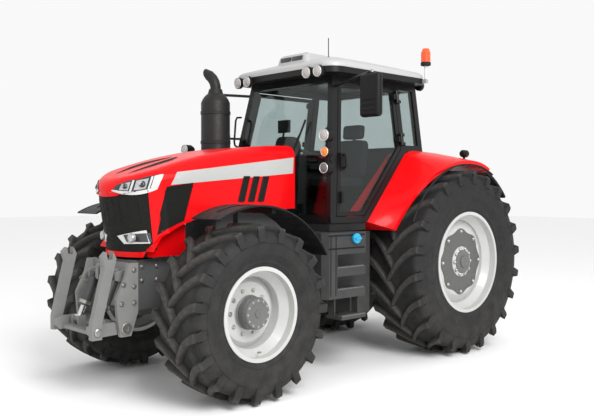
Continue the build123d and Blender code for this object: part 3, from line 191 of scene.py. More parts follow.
def bolt(spot, way, radius=0.014):
    """A hexagon head on its washer."""
    height, washer_radius, washer_height = radius * 0.9, radius * 1.5, radius * 0.2
    washer = [(0, 0), (washer_radius, 0), (washer_radius, washer_height), (0, washer_height)]
    head = [(0, 0), (radius, 0), (radius, height), (radius * 0.85, height * 1.15), (0, height * 1.15)]
    return join(turned(washer, aim(spot, way), 16), turned(head, aim(spot, way), 6))


def piece(name, shape, material, body, stands_for=(), bevel=0.0, rounds=2, sharp=35):
    """Points and faces made into one smooth-shaded object with softened edges, on its body."""
    mesh = bpy.data.meshes.new(name)
    form = bmesh.new()
    corners = [form.verts.new(p) for p in shape[0]]
    for ring in shape[1]:
        form.faces.new([corners[i] for i in ring])
    bmesh.ops.remove_doubles(form, verts=form.verts, dist=1e-5)
    bmesh.ops.recalc_face_normals(form, faces=form.faces)
    if bevel:
        edges = [e for e in form.edges if e.is_manifold and e.calc_face_angle(0) > radians(30)]
        bmesh.ops.bevel(form, geom=edges, offset=bevel, segments=rounds, affect="EDGES", profile=0.5,
                        clamp_overlap=True)
    form.to_mesh(mesh)
    form.free()
    mesh.shade_smooth()
    mesh.set_sharp_from_angle(angle=radians(sharp))
    mesh.materials.append(material)
    made = bpy.data.objects.new(name, mesh)
    bpy.context.scene.collection.objects.link(made)
    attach(made, body)
    if stands_for:
        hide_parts(*stands_for)
    return made


cast_grey = finish("cast_grey_paint", (0.085, 0.087, 0.088), rough=0.55, grain=0.25, dust=0.45, shine=0.3)
dress(cast_grey, "engine", "transmission", "front_support", "front_axle", "knuckle_left", "knuckle_right")
zinc = finish("zinc_bolts", (0.42, 0.41, 0.38), rough=0.35, metal=0.9, cloud=0.25, cloud_size=40)
support_low, support_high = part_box("front_support")
BOLT_FIRST, BOLT_PITCH, BOLT_COUNT, BOLT_DROPS, BOLT_RADIUS = 0.2, 0.15, 5, (0.06, 0.18), 0.016
support_bolts = []
for x in [support_low.x + BOLT_FIRST + BOLT_PITCH * k for k in range(BOLT_COUNT)]:
    support_bolts += [bolt((x, support_high.y, support_high.z - drop), (0, 1, 0), BOLT_RADIUS)
                      for drop in BOLT_DROPS]
piece("support_bolts", both(*support_bolts), zinc, "chassis")


# Wheels: pressed steel rims with rolled bead seats and a welded dished disc, in silver paint. Ten nuts
# hold the disc; the front hub is a grey planetary drum, the rear one a grey scalloped plate on its hub.
def round_wheel(make, radius, count, height):
    """Copies of a small piece in a ring on a wheel's outer face."""
    turns = [2 * pi * k / count for k in range(count)]
    return join(*[make((radius * cos(a), height, radius * sin(a)), (0, 1, 0)) for a in turns])


def shifted(shape, move):
    """A shape moved bodily."""
    return [p + Vector(move) for p in shape[0]], shape[1]


def scalloped(inner, outer, dip, count, low, high, steps=160):
    """A flat ring whose rim waves in and out."""
    points = []
    for turn in [2 * pi * k / steps for k in range(steps)]:
        rim = outer + dip * cos(count * turn)
        section = ((inner, low), (rim, low), (rim, high - 0.004), (rim - 0.006, high), (inner, high))
        points += [Vector((radius * cos(turn), height, radius * sin(turn))) for radius, height in section]
    return points, quads(steps, len(section), round_count=True)


rear_low, rear_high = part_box("rear_tyre_left")
front_low, front_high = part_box("front_tyre_left")
rear_hub, front_hub = (rear_low + rear_high) / 2, (front_low + front_high) / 2
wheel_silver = finish("wheel_silver_paint", (0.47, 0.475, 0.46), rough=0.38, cloud=0.06, grain=0.05,
                      dust=0.12, dust_top=1.4, coat=0.2)
hub_grey = finish("hub_grey_paint", (0.12, 0.121, 0.118), rough=0.42, cloud=0.1, grain=0.2, shine=0.35)
disc_grey = finish("disc_grey_paint", (0.085, 0.086, 0.083), rough=0.42, cloud=0.08, grain=0.08)
dress(wheel_silver, "rear_wheel_left", "rear_wheel_right", "front_wheel_left", "front_wheel_right")

REAR_DISC_Y, REAR_HUB_Y, PLATE_THICK = 0.184, 0.214, 0.01
PLATE_INNER, PLATE_OUTER, PLATE_WAVE, PLATE_WAVES = 0.17, 0.352, 0.016, 8
REAR_NUT_RING, PLATE_BOLT_RING = 0.145, 0.335
plate_face = REAR_DISC_Y + PLATE_THICK
rear_plate = scalloped(PLATE_INNER, PLATE_OUTER, PLATE_WAVE, PLATE_WAVES, REAR_DISC_Y - 0.004, plate_face)
rear_nuts = join(round_wheel(bolt, REAR_NUT_RING, 10, REAR_HUB_Y),
                 round_wheel(bolt, PLATE_BOLT_RING, PLATE_WAVES, plate_face))
rear_cap = turned([(0.128, 0), (0.128, 0.008), (0.118, 0.014), (0.066, 0.014), (0.064, 0.028),
                   (0.04, 0.034), (0.034, 0.028), (0, 0.028)], aim((0, REAR_HUB_Y, 0), (0, 1, 0)), 48)

FRONT_DISC_Y, DRUM_BOLT_Y = 0.06, 0.198
FRONT_NUT_RING, DRUM_BOLT_RING, DRUM_BOLT_RADIUS = 0.192, 0.112, 0.0075
drum = turned([(0.149, 0.081), (0.149, 0.084), (0.136, 0.092), (0.136, 0.15), (0.139, 0.153),
               (0.139, 0.163), (0.136, 0.166), (0.135, 0.184), (0.124, 0.198), (0.098, 0.199),
               (0.092, 0.195), (0.034, 0.195), (0.03, 0.204), (0.012, 0.204), (0.01, 0.2), (0, 0.2)],
              aim((0, 0, 0), (0, 1, 0)), 64)
valve = turned([(0.008, 0), (0.008, 0.035), (0.005, 0.04), (0.005, 0.05), (0, 0.05)],
               aim((0, 0.19, -0.33), (0, 1, 0.25)), 12)
front_nuts = join(round_wheel(bolt, FRONT_NUT_RING, 10, FRONT_DISC_Y),
                  round_wheel(lambda spot, way: bolt(spot, way, DRUM_BOLT_RADIUS), DRUM_BOLT_RING, 12,
                              DRUM_BOLT_Y), valve)
rear_parts = (("disc_plate", rear_plate, disc_grey), ("nuts", rear_nuts, zinc), ("cap", rear_cap, hub_grey))
front_parts = (("drum", drum, hub_grey), ("nuts", front_nuts, zinc))
for side, flip in (("left", lambda shape: shape), ("right", flipped)):
    for end, hub, parts in (("rear", rear_hub, rear_parts), ("front", front_hub, front_parts)):
        for label, shape, material in parts:
            placed = flip(shifted(shape, hub))
            piece(f"{end}_wheel_{label}_{side}", placed, material, f"{end}_{side}")


# Tyres: radial farm tyres of black rubber, a ribbed sidewall and two rows of curved bars that meet the
# crown in turn, leaning so that the bars' outer ends reach the road last. Bar tops are scuffed and dusty.
BAR_HEIGHT, BAR_INSET, BAR_OVERLAP = 0.052, 0.018, 0.03
CROWN_DROP, BAR_CROWN_DROP, BAR_CURVE = 0.012, 0.018, 1.6
WALL_SHARES = ((0.38, 0.012), (0.40, 0.008), (0.42, 0.009), (0.55, 0.001), (0.66, 0.004), (0.675, 0.0),
               (0.69, 0.005), (0.80, 0.014), (0.90, 0.032), (0.96, 0.056))
BAR_STATIONS = ((0.0, 0.6), (0.04, 0.85), (0.12, 1), (0.28, 1), (0.46, 1), (0.64, 1.03), (0.82, 1.1),
                (1.0, 1.2))


def farm_tyre(radius, width, bead, rim_width, bars, sweep):
    """One tyre about its hub, as a carcass and its bars, outer face towards +Y."""
    half, rim = width / 2, rim_width / 2
    tread = radius - BAR_HEIGHT
    tall = tread - bead
    wall = [(bead - 0.004, rim - 0.05), (bead + 0.004, rim - 0.016), (bead + 0.05, rim + 0.004),
            (bead + 0.058, rim + 0.012), (bead + 0.07, rim + 0.012), (bead + 0.078, rim + 0.01)]
    wall += [(bead + tall * share, half - drop) for share, drop in WALL_SHARES]
    wall += [(tread - CROWN_DROP * share ** 2, half * share) for share in (0.72, 0.5, 0.25, 0)]
    profile = wall + [(r, -y) for r, y in reversed(wall[:-1])]
    carcass = turned(profile, aim((0, 0, 0), (0, 1, 0)), 120)
    shapes = []
    for row, lag in ((-1, 0), (1, 0.5)):
        for k in range(bars):
            shapes.append(tread_bar(radius, half, sweep, 2 * pi * (k + lag) / bars, row))
    return join(carcass, *shapes)


def stacked(rings):
    """Rings of equal count skinned one to the next, closed at both ends."""
    count = len(rings[0])
    points = [p for ring in rings for p in ring]
    ends = [list(range(count))[::-1], list(range(len(points) - count, len(points)))]
    return points, quads(len(rings), count, round_rings=False, round_count=True) + ends


def tread_bar(radius, half, sweep, start, row):
    """One curved bar from just past the crown out over the shoulder, thick at its foot."""
    tread, edge = radius - BAR_HEIGHT, half - BAR_INSET
    rings = []
    for share, plump in BAR_STATIONS:
        turn = start + sweep * (1 - (1 - share) ** BAR_CURVE) / radius
        y = row * (-BAR_OVERLAP + (edge + BAR_OVERLAP) * share)
        top = radius - BAR_CROWN_DROP * share ** 2
        foot = tread - 0.02 - 0.045 * share ** 4
        rings.append(bar_section(turn, y, y, top, foot, 0.029 * plump, 0.052 * plump, radius))
    turn = start + sweep / radius
    for drop, inset, plump in ((0.055, 0.008, 1.25), (0.145, -0.001, 1.3)):
        rings.append(bar_section(turn, row * (half - inset), row * (half - 0.05), radius - drop,
                                 radius - drop - 0.05, 0.03 * plump, 0.048 * plump, radius))
    return stacked(rings)


def bar_section(turn, y_top, y_foot, top, foot, half_top, half_foot, radius):
    """Six points across a bar: foot, rounded top, foot."""
    section = []
    for across, depth, y in ((-half_foot, foot, y_foot), (-half_top - 0.003, top - 0.007, y_top),
                             (-half_top + 0.004, top, y_top), (half_top - 0.004, top, y_top),
                             (half_top + 0.003, top - 0.007, y_top), (half_foot, foot, y_foot)):
        a = turn + across / radius
        section.append(Vector((depth * cos(a), y, depth * sin(a))))
    return section


# The second colour is a painted highlight along the sidewall's fine rings.
RUBBER_BLACK, RIB_HIGHLIGHT_GREY, SCUFF_BROWN = (0.016, 0.0162, 0.0165), (0.052, 0.052, 0.053), (0.105, 0.1, 0.092)
RIBS_PER_METRE = 420.0


def rubber(name, hub, radius):
    """Black rubber with painted highlights along fine rings on the wall, browner and paler with dust towards
    the bar tops.
    """
    def worn(tree, place, tint):
        dx = calc(tree, "SUBTRACT", along(tree, place, "X"), hub.x)
        dz = calc(tree, "SUBTRACT", along(tree, place, "Z"), hub.z)
        squares = calc(tree, "ADD", calc(tree, "MULTIPLY", dx, dx), calc(tree, "MULTIPLY", dz, dz))
        out = calc(tree, "SQRT", squares, 0.0)
        tops = spread(tree, out, radius - 0.05, radius - 0.004, 0.0, 0.55)
        patches = spread(tree, noise(tree, place, 30.0, 6.0), 0.3, 0.75, 0.25, 1.0)
        scuffed = calc(tree, "MULTIPLY", tops, patches)
        # The sidewall's fine rings are painted paler: painted highlights along their crests.
        ribs = calc(tree, "SINE", calc(tree, "MULTIPLY", out, RIBS_PER_METRE), 0.0)
        rib_highlights = mix(tree, spread(tree, ribs, 0.6, 1.0, 0.0, 0.25), tint, RIB_HIGHLIGHT_GREY)
        return mix(tree, scuffed, rib_highlights, SCUFF_BROWN)
    return finish(name, RUBBER_BLACK, rough=0.72, cloud=0.2, cloud_size=9, grain=0.2, grain_size=320,
                  dust=0.12, dust_top=1.8, shine=0.2, pattern=worn)


for end, hub, low, high, bead, rim_width, bars, sweep in (
    ("rear", rear_hub, rear_low, rear_high, 0.533, 0.6, 22, 0.34),
    ("front", front_hub, front_low, front_high, 0.381, 0.5, 19, 0.27),
):
    radius = (high.z - low.z) / 2
    material = rubber(f"{end}_tyre_rubber", hub, radius)
    tyre = shifted(farm_tyre(radius, high.y - low.y, bead, rim_width, bars, sweep), hub)
    for side, shape in (("left", tyre), ("right", flipped(tyre))):
        piece(f"{end}_tread_{side}", shape, material, f"{end}_{side}", [f"{end}_tyre_{side}"],
              sharp=28)


# Front mudguards: moulded black plastic arches on a bent steel tube off each knuckle, with a rolled bead
# along both edges and a raised line along the middle that keep the thin sheet stiff.
def tube(path, radius, sides=12):
    """A round bar or pipe along a path, closed at both ends."""
    path = [Vector(p) for p in path]
    turns = [2 * pi * i / sides for i in range(sides)]
    rings = []
    way = (path[1] - path[0]).normalized()
    turn = way.to_track_quat("Z", "Y").to_matrix()
    for k, spot in enumerate(path):
        ahead = (path[min(k + 1, len(path) - 1)] - path[max(k - 1, 0)]).normalized()
        turn = way.rotation_difference(ahead).to_matrix() @ turn
        way = ahead
        rings.append([spot + turn @ Vector((radius * cos(a), radius * sin(a), 0)) for a in turns])
    return stacked(rings)


def arc(centre, radius, y, first, last, steps=24):
    """Points round a wheel at one width, by angle above the front."""
    turns = [radians(first + (last - first) * k / steps) for k in range(steps + 1)]
    return [(centre.x + radius * cos(a), y, centre.z + radius * sin(a)) for a in turns]


black_plastic = finish("black_plastic", (0.007, 0.007, 0.0075), rough=0.45, grain=0.2, grain_size=400,
                       shine=0.18)
dress(black_plastic, "front_guard_left", "front_guard_right")
guard_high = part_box("front_guard_left")[1]
GUARD_INNER_Y, BEAD_INSET, BEAD_RADIUS, LINE_RADIUS = 0.81, 0.008, 0.009, 0.006
BEAD_FROM, BEAD_TO, LINE_FROM, LINE_TO = 62.5, 149.5, 70, 142
guard_radius = guard_high.z - front_hub.z
guard_beads = [tube(arc(front_hub, guard_radius - 0.004, y, BEAD_FROM, BEAD_TO), BEAD_RADIUS, 10)
               for y in (GUARD_INNER_Y + BEAD_INSET, guard_high.y - BEAD_INSET)]
guard_line = arc(front_hub, guard_radius + 0.001, (GUARD_INNER_Y + guard_high.y) / 2, LINE_FROM, LINE_TO)
guard_beads.append(tube(guard_line, LINE_RADIUS, 10))
guard_trim = join(*guard_beads)
piece("guard_beads_left", guard_trim, black_plastic, "left_knuckle")
piece("guard_beads_right", flipped(guard_trim), black_plastic, "right_knuckle")


# Bonnet: one pressed and moulded hood, sprayed red with a clear coat and hinged at the cab. A pale bare
# band is stuck along each side, deeper towards the cab.
def skin_of(*nodes):
    """The surface of some CAD nodes, to lay thin pieces on."""
    points, faces = [], []
    for node in nodes:
        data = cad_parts[node].data
        start = len(points)
        points += [v.co.copy() for v in data.vertices]
        faces += [[i + start for i in p.vertices] for p in data.polygons]
    return BVHTree.FromPolygons(points, faces)


def laid(skin, start, way, lift, reach=0.85):
    """The point where a straight line meets the surface, or passes nearest it, lifted off it a little."""
    start, way = Vector(start), Vector(way)
    spot, normal, _, _ = skin.ray_cast(start, way)
    if spot is None:
        spot, normal, _, _ = skin.find_nearest(start + way * reach)
    return spot + (-normal if normal.dot(way) > 0 else normal) * lift


def patch(corners, place, rows=6, columns=24):
    """A four-cornered sheet: its flat points go through a place function to lie on a surface."""
    a, b, c, d = [Vector(p) for p in corners]
    points = []
    for i in range(rows + 1):
        for j in range(columns + 1):
            u, v = j / columns, i / rows
            points.append(place((a.lerp(b, u)).lerp(d.lerp(c, u), v)))
    return points, quads(rows + 1, columns + 1, round_rings=False)


nose_skin = skin_of("bonnet", "grilles", "headlamps")
CLEAR_LEFT, CLEAR_AHEAD, CLEAR_ABOVE = 1.0, 3.0, 3.0


def on_side(lift):
    """Lays a flat (x, z) point on the bonnet's left side."""
    return lambda flat: laid(nose_skin, (flat.x, CLEAR_LEFT, flat.y), (0, -1, 0), lift)


RED = (0.70, 0.002, 0.004)
red_paint = finish("bonnet_red_paint", RED, rough=0.34, cloud=0.04, grain=0.015, coat=0.1, shine=0.12)
dress(red_paint, "bonnet")
band_grey = finish("pale_band", (0.42, 0.423, 0.41), rough=0.4, cloud=0.05, grain=0.03, grain_size=500)
BAND_TOP_REAR, BAND_TOP_FRONT = (0.565, 2.128), (1.95, 1.96)
BAND_LOW_REAR, BAND_LOW_FRONT = (0.575, 1.97), (2.02, 1.848)
band = patch((BAND_LOW_REAR, BAND_LOW_FRONT, BAND_TOP_FRONT, BAND_TOP_REAR), on_side(0.003), 12, 80)
piece("side_bands", both(band), band_grey, "bonnet_lid")


# Grilles: fine black expanded mesh behind the nose, on both flanks, in three slanted side vents and in two
# pointed inlays on the crest, clipped into the hood. Slim bars stand on the nose mesh to stiffen it.
def holes(tree, place, tint):
    """Rows of small openings, painted near black as painted shade seen through the mesh."""
    grid = tree.nodes.new("ShaderNodeTexVoronoi")
    grid.inputs["Scale"].default_value = 130.0
    grid.inputs["Randomness"].default_value = 0.0
    tree.links.new(place, grid.inputs["Vector"])
    wires = spread(tree, grid.outputs["Distance"], 0.25, 0.5, 0.0, 1.0)
    # The openings between the wires are painted near black: painted shade behind the mesh.
    return mix(tree, wires, (0.004, 0.004, 0.004), tint)


mesh_black = finish("grille_mesh", (0.014, 0.014, 0.013), rough=0.7, cloud=0.1, grain=0.1, shine=0.12,
                    pattern=holes)
dress(mesh_black, "grilles")
VENT_REAR, VENT_PITCH, VENT_COUNT, VENT_LEAN, VENT_WIDE = 0.885, 0.12, 3, 0.07, 0.082
VENT_LOW, VENT_HIGH, VENT_LIFT, VENT_SWELL = 1.695, 1.935, 0.003, 0.012


def vent(rear):
    """One slanted vent, its louvre swelling out along the middle."""
    def swelled(flat):
        share = (flat.x - rear - VENT_LEAN * (VENT_HIGH - flat.y) / (VENT_HIGH - VENT_LOW)) / VENT_WIDE
        return on_side(VENT_LIFT + VENT_SWELL * sin(pi * min(max(share, 0), 1)))(flat)
    low_x = rear + VENT_LEAN
    corners = ((low_x, VENT_LOW), (low_x + VENT_WIDE, VENT_LOW), (rear + VENT_WIDE, VENT_HIGH),
               (rear, VENT_HIGH))
    return patch(corners, swelled, 16, 10)


vents = [vent(VENT_REAR + VENT_PITCH * k) for k in range(VENT_COUNT)]
piece("vent_louvres", both(*vents), mesh_black, "bonnet_lid")
CREST_REAR, CREST_FRONT, CREST_IN, CREST_OUT, CREST_LIFT = 1.66, 2.24, 0.035, 0.235, 0.002
CREST_SPLAY = 0.35


def crest_blade(flat):
    """A point of a blade by its shares along and across: pointed at both ends, splayed at the nose."""
    swell = sin(pi * flat.x ** 0.75)
    out = CREST_SPLAY * flat.x + (1 - CREST_SPLAY) * flat.y * swell
    x, y = CREST_REAR + (CREST_FRONT - CREST_REAR) * flat.x, CREST_IN + (CREST_OUT - CREST_IN) * out
    return laid(nose_skin, (x, y, CLEAR_ABOVE), (0, 0, -1), CREST_LIFT)


inlay = patch(((0, 0), (1, 0), (1, 1), (0, 1)), crest_blade, 8, 40)
piece("crest_inlays", both(inlay), mesh_black, "bonnet_lid")


def on_front(lift):
    """Lays a flat (y, z) point on the nose."""
    return lambda flat: laid(nose_skin, (CLEAR_AHEAD, flat.x, flat.y), (-1, 0, 0), lift)


SLAT_COUNT, SLAT_FIRST, SLAT_PITCH, SLAT_RADIUS, SLAT_LIFT = 9, -0.32, 0.08, 0.0022, 0.0005
SLAT_LOW, SLAT_STEP, SLAT_POINTS = 1.50, 0.02, 12
slats = []
for y in [SLAT_FIRST + SLAT_PITCH * k for k in range(SLAT_COUNT)]:
    line = [on_front(SLAT_LIFT)(Vector((y, SLAT_LOW + SLAT_STEP * i))) for i in range(SLAT_POINTS)]
    slats.append(tube(line, SLAT_RADIUS, 6))
piece("grille_bars", join(*slats), mesh_black, "bonnet_lid")

CAMERA_SPOT = Vector((5.76, 6.05, 1.82))
CAMERA_YAW, CAMERA_PITCH, CAMERA_ROLL = radians(226.8), radians(-1.62), radians(0.13)
PHOTO_WIDTH, PHOTO_HEIGHT, FOCAL_PIXELS = 594, 420, 763
level = cos(CAMERA_PITCH)
ahead = Vector((cos(CAMERA_YAW) * level, sin(CAMERA_YAW) * level, sin(CAMERA_PITCH)))
rightward = ahead.cross(Vector((0, 0, 1))).normalized()
camera_turn = Matrix((rightward, rightward.cross(ahead), -ahead)).transposed()
camera_turn = camera_turn @ Matrix.Rotation(CAMERA_ROLL, 3, "Z")
CAMERA_TO_NOSE = 6.4


def seen_at(pixel, lift):
    """The point of the nose that shows at a pixel of the photograph."""
    across, up = pixel.x - PHOTO_WIDTH / 2, PHOTO_HEIGHT / 2 - pixel.y
    way = camera_turn @ Vector((across, up, -FOCAL_PIXELS)).normalized()
    return laid(nose_skin, CAMERA_SPOT, way, lift, CAMERA_TO_NOSE)


FLANK_PIXELS = ((157.2, 235.3), (183.9, 219.0), (193.3, 182.6), (166.5, 186.7))
flank = patch(FLANK_PIXELS, lambda flat: seen_at(flat, 0.004), 24, 16)
piece("flank_meshes", both(flank), mesh_black, "bonnet_lid")


# Headlamps: a wedge of clear cover each side over a dark housing, two square lamp units, bright bars
# between them and a broad silver frame below and outside. Low lamps sit in silver surrounds in the grille.
LAMP_COLOUR_SPLIT = 1.6


def lamp_colours(tree, place, tint):
    """The housing takes the hood's red up at the headlamps and stays silver at the low lamps."""
    high_up = spread(tree, along(tree, place, "Z"), LAMP_COLOUR_SPLIT, LAMP_COLOUR_SPLIT + 0.01, 0.0, 1.0)
    return mix(tree, high_up, tint, RED)


chrome_silver = finish("lamp_silver", (0.62, 0.62, 0.61), rough=0.25, metal=0.3, cloud=0.1, grain=0.03)
dark_lamp = finish("lamp_housing", (0.016, 0.016, 0.017), rough=0.2, cloud=0.2, grain=0.03, coat=0.6)
clear_lamp = finish("lamp_unit", (0.46, 0.47, 0.48), rough=0.12, metal=0.55, cloud=0.35, cloud_size=60,
                    coat=0.8)
surround = finish("lamp_surround", (0.6, 0.6, 0.59), rough=0.3, cloud=0.06, grain=0.03, pattern=lamp_colours)
dress(surround, "headlamps")
LAMP_FOOT_X, LAMP_TOP_X = (112.0, 157.5), (116.0, 163.8)
LAMP_FOOT_Y, LAMP_TOP_Y, LAMP_SAG = (190.5, 188.6), (186.0, 173.6), 4.6


def lamp_pixel(share, height):
    """A pixel of the lamp by its share from the inner to the outer end and from its foot to its top."""
    foot_x, top_x = [inner + (outer - inner) * share for inner, outer in (LAMP_FOOT_X, LAMP_TOP_X)]
    foot_y = LAMP_FOOT_Y[0] + (LAMP_FOOT_Y[1] - LAMP_FOOT_Y[0]) * share + LAMP_SAG * 4 * share * (1 - share)
    top_y = LAMP_TOP_Y[0] + (LAMP_TOP_Y[1] - LAMP_TOP_Y[0]) * share ** 0.7
    return Vector((foot_x + (top_x - foot_x) * height, foot_y + (top_y - foot_y) * height, 0))


def lamp_patch(first, last, low, high, lift, columns, rows):
    """A part of the lamp's face between two shares of its length and of its height."""
    return patch(((first, low), (last, low), (last, high), (first, high)),
                 lambda flat: seen_at(lamp_pixel(flat.x, flat.y), lift), rows, columns)


HOUSING_LIFT, UNIT_LIFT, FRAME_LIFT, FRAME_END_LIFT = 0.006, 0.0085, 0.009, 0.012
housing = lamp_patch(0.0, 1.0, 0.0, 1.0, HOUSING_LIFT, 60, 16)
frames = [lamp_patch(0.0, 1.0, -0.04, 0.2, FRAME_LIFT, 60, 5),
          lamp_patch(0.82, 1.0, 0.18, 0.93, FRAME_END_LIFT, 12, 12)]
frames += [lamp_patch(first, first + 0.045, 0.18, 0.93, FRAME_LIFT, 4, 12) for first in (0.36, 0.755)]
units = [lamp_patch(first, last, 0.27, 0.86, UNIT_LIFT, 14, 10)
         for first, last in ((0.14, 0.33), (0.45, 0.71))]
piece("headlamp_housings", both(housing), dark_lamp, "bonnet_lid")
piece("headlamp_frames", both(*frames), chrome_silver, "bonnet_lid")
piece("headlamp_units", both(*units), clear_lamp, "bonnet_lid")
bulbs = []
for middle, size in ((0.24, 0.024), (0.6, 0.03)):
    spot = seen_at(lamp_pixel(middle, 0.58), 0.007)
    cup = [(size, 0), (size, 0.005), (size * 0.85, 0.007), (size * 0.6, 0.002), (size * 0.45, 0.006),
           (0, 0.009)]
    bulbs.append(turned(cup, aim(spot, (0.8, 0.5, 0.3)), 28))
piece("headlamp_bulbs", both(*bulbs), dark_lamp, "bonnet_lid")
LOW_LAMP_SPOT = Vector((0.245, 1.387))
low_well = patch(((0.19, 1.352), (0.375, 1.352), (0.37, 1.432), (0.165, 1.412)), on_front(0.003), 6, 16)
low_lamp = turned([(0.04, -0.006), (0.04, 0.018), (0.036, 0.024), (0.033, 0.022), (0.02, 0.03), (0, 0.033)],
                  aim(on_front(0.0)(LOW_LAMP_SPOT), (1, 0.15, 0)), 32)
piece("low_lamp_wells", both(low_well), dark_lamp, "bonnet_lid")
piece("low_lamps", both(low_lamp), clear_lamp, "bonnet_lid")


# Cab shell: a welded black steel frame with a door each side hung on the rear post, rubber-edged tinted
# glass all round, a pull handle at each door's front edge and one long wiper on the windscreen.
def glass(name, tint):
    """Tinted safety glass: what is behind shows through the tint, with a mirror gloss on top."""
    material = bpy.data.materials.new(name)
    material.use_nodes = True
    tree = material.node_tree
    tree.nodes.clear()
    out = tree.nodes.new("ShaderNodeOutputMaterial")
    clear = tree.nodes.new("ShaderNodeBsdfTransparent")
    gloss = tree.nodes.new("ShaderNodeBsdfGlossy")
    blend = tree.nodes.new("ShaderNodeMixShader")
    facing = tree.nodes.new("ShaderNodeLayerWeight")
    facing.inputs["Blend"].default_value = 0.5
    place = tree.nodes.new("ShaderNodeTexCoord").outputs["Object"]
    film = mix(tree, noise(tree, place, 2.5, 5.0), [c * 0.94 for c in tint], tint)
    tree.links.new(film, clear.inputs["Color"])
    gloss.inputs["Roughness"].default_value = 0.02
    grazing = calc(tree, "POWER", facing.outputs["Facing"], 4.0)
    tree.links.new(spread(tree, grazing, 0.0, 1.0, 0.03, 0.8), blend.inputs[0])
    tree.links.new(clear.outputs[0], blend.inputs[1])
    tree.links.new(gloss.outputs[0], blend.inputs[2])
    tree.links.new(blend.outputs[0], out.inputs["Surface"])
    return material


def block(low, high):
    """A box between two corners."""
    points = [Vector((x, y, z)) for x in (low[0], high[0]) for y in (low[1], high[1])
              for z in (low[2], high[2])]
    return points, [(0, 1, 3, 2), (4, 6, 7, 5), (0, 4, 5, 1), (2, 3, 7, 6), (0, 2, 6, 4), (1, 5, 7, 3)]


black_frame = finish("black_frame_paint", (0.006, 0.006, 0.0065), rough=0.34, grain=0.08, coat=0.12,
                     shine=0.2)
dress(black_frame, "cab_frame", "door_left", "door_right", "roof_rim")
dress(glass("tinted_cab_glass", (0.80, 0.845, 0.84)), "cab_glass", "door_glass_left", "door_glass_right")
rubber_black = finish("black_rubber", (0.013, 0.013, 0.013), rough=0.75, grain=0.3, shine=0.2)
HANDLE_X, HANDLE_Y, HANDLE_Z = 0.19, 0.775, 2.09
PULL_RADIUS, PULL_LINE = 0.012, ((0.0, 0.07), (0.055, 0.055), (0.06, -0.055), (0.0, -0.07))
handle = join(block((HANDLE_X - 0.03, HANDLE_Y - 0.02, HANDLE_Z - 0.09),
                    (HANDLE_X + 0.03, HANDLE_Y + 0.012, HANDLE_Z + 0.09)),
              tube([(HANDLE_X, HANDLE_Y + out, HANDLE_Z + up) for out, up in PULL_LINE], PULL_RADIUS))
piece("door_handle_left", handle, black_plastic, "left_door", bevel=0.004)
piece("door_handle_right", flipped(handle), black_plastic, "right_door", bevel=0.004)
WIPER_FOOT, WIPER_TIP = Vector((0.432, 0.02, 1.64)), Vector((0.318, 0.30, 2.36))
SCREEN_SLANT, WIPER_STAND_OFF, BLADE_SHARE = 0.167, 0.022, 0.42
WIPER_ARM_RADIUS, BLADE_RADIUS = 0.008, 0.011
screen_way = Vector((1, 0, SCREEN_SLANT)).normalized()
wiper_lift = screen_way * WIPER_STAND_OFF
blade_run = (WIPER_TIP - WIPER_FOOT) * BLADE_SHARE
wiper = join(tube([WIPER_FOOT + wiper_lift * 0.4, WIPER_FOOT.lerp(WIPER_TIP, 0.3) + wiper_lift,
                   WIPER_TIP + wiper_lift], WIPER_ARM_RADIUS),
             tube([WIPER_TIP - blade_run + wiper_lift * 0.5,
                   WIPER_TIP + blade_run * 0.55 + wiper_lift * 0.5], BLADE_RADIUS, 6),
             turned([(0, 0), (0.026, 0), (0.022, 0.03), (0, 0.034)], aim(WIPER_FOOT, screen_way), 20))
piece("windscreen_wiper", wiper, rubber_black, "chassis")


# Cab inside: a rubber-matted floor, the driver's sprung seat in dark cloth over foam, the dashboard's
# hood, the side console with its levers, pedals, a small screen on a stalk and a bent grab rail.
def rounded(half_x, half_y, radius, middle_x, z, steps=10):
    """A rounded rectangle in plan."""
    outline = []
    for corner, (sx, sy) in enumerate(((1, 1), (-1, 1), (-1, -1), (1, -1))):
        for k in range(steps + 1):
            a = pi / 2 * (corner + k / steps)
            x = middle_x + sx * (half_x - radius) + radius * cos(a)
            outline.append(Vector((x, sy * (half_y - radius) + radius * sin(a), z)))
    return outline


CUSHION_SQUARENESS, SEAM_PULL = 6, 0.02


def cushion(low, high, crown, lean=0.0, seams=3, steps=28):
    """A stuffed cushion: a soft-edged block, crowned in the middle and pulled in along its seams."""
    low, high = Vector(low), Vector(high)
    middle, reach = (low + high) / 2, (high - low) / 2
    thin = min(range(3), key=lambda i: reach[i])
    ball = bmesh.new()
    bmesh.ops.create_cube(ball, size=2.0)
    bmesh.ops.subdivide_edges(ball, edges=ball.edges, cuts=steps, use_grid_fill=True)
    points = []
    for vert in ball.verts:
        flat = vert.co.copy()
        length = sum(abs(c) ** CUSHION_SQUARENESS for c in flat) ** (1 / CUSHION_SQUARENESS)
        soft = flat / length
        pulled = 1 - SEAM_PULL * (1 + cos(soft.y * pi * seams)) * 0.5 * (1 - soft.y ** 2)
        swell = 1 + crown * (1 - soft.x ** 2) * (1 - soft.y ** 2) * (1 - soft.z ** 2 * 0.5)
        spot = Vector((soft.x * reach.x, soft.y * reach.y, soft.z * reach.z)) * pulled
        spot[thin] *= swell
        spot.x -= lean * (spot.z + reach.z)
        points.append(middle + spot)
    ball.verts.index_update()
    faces = [[v.index for v in face.verts] for face in ball.faces]
    ball.free()
    return points, faces


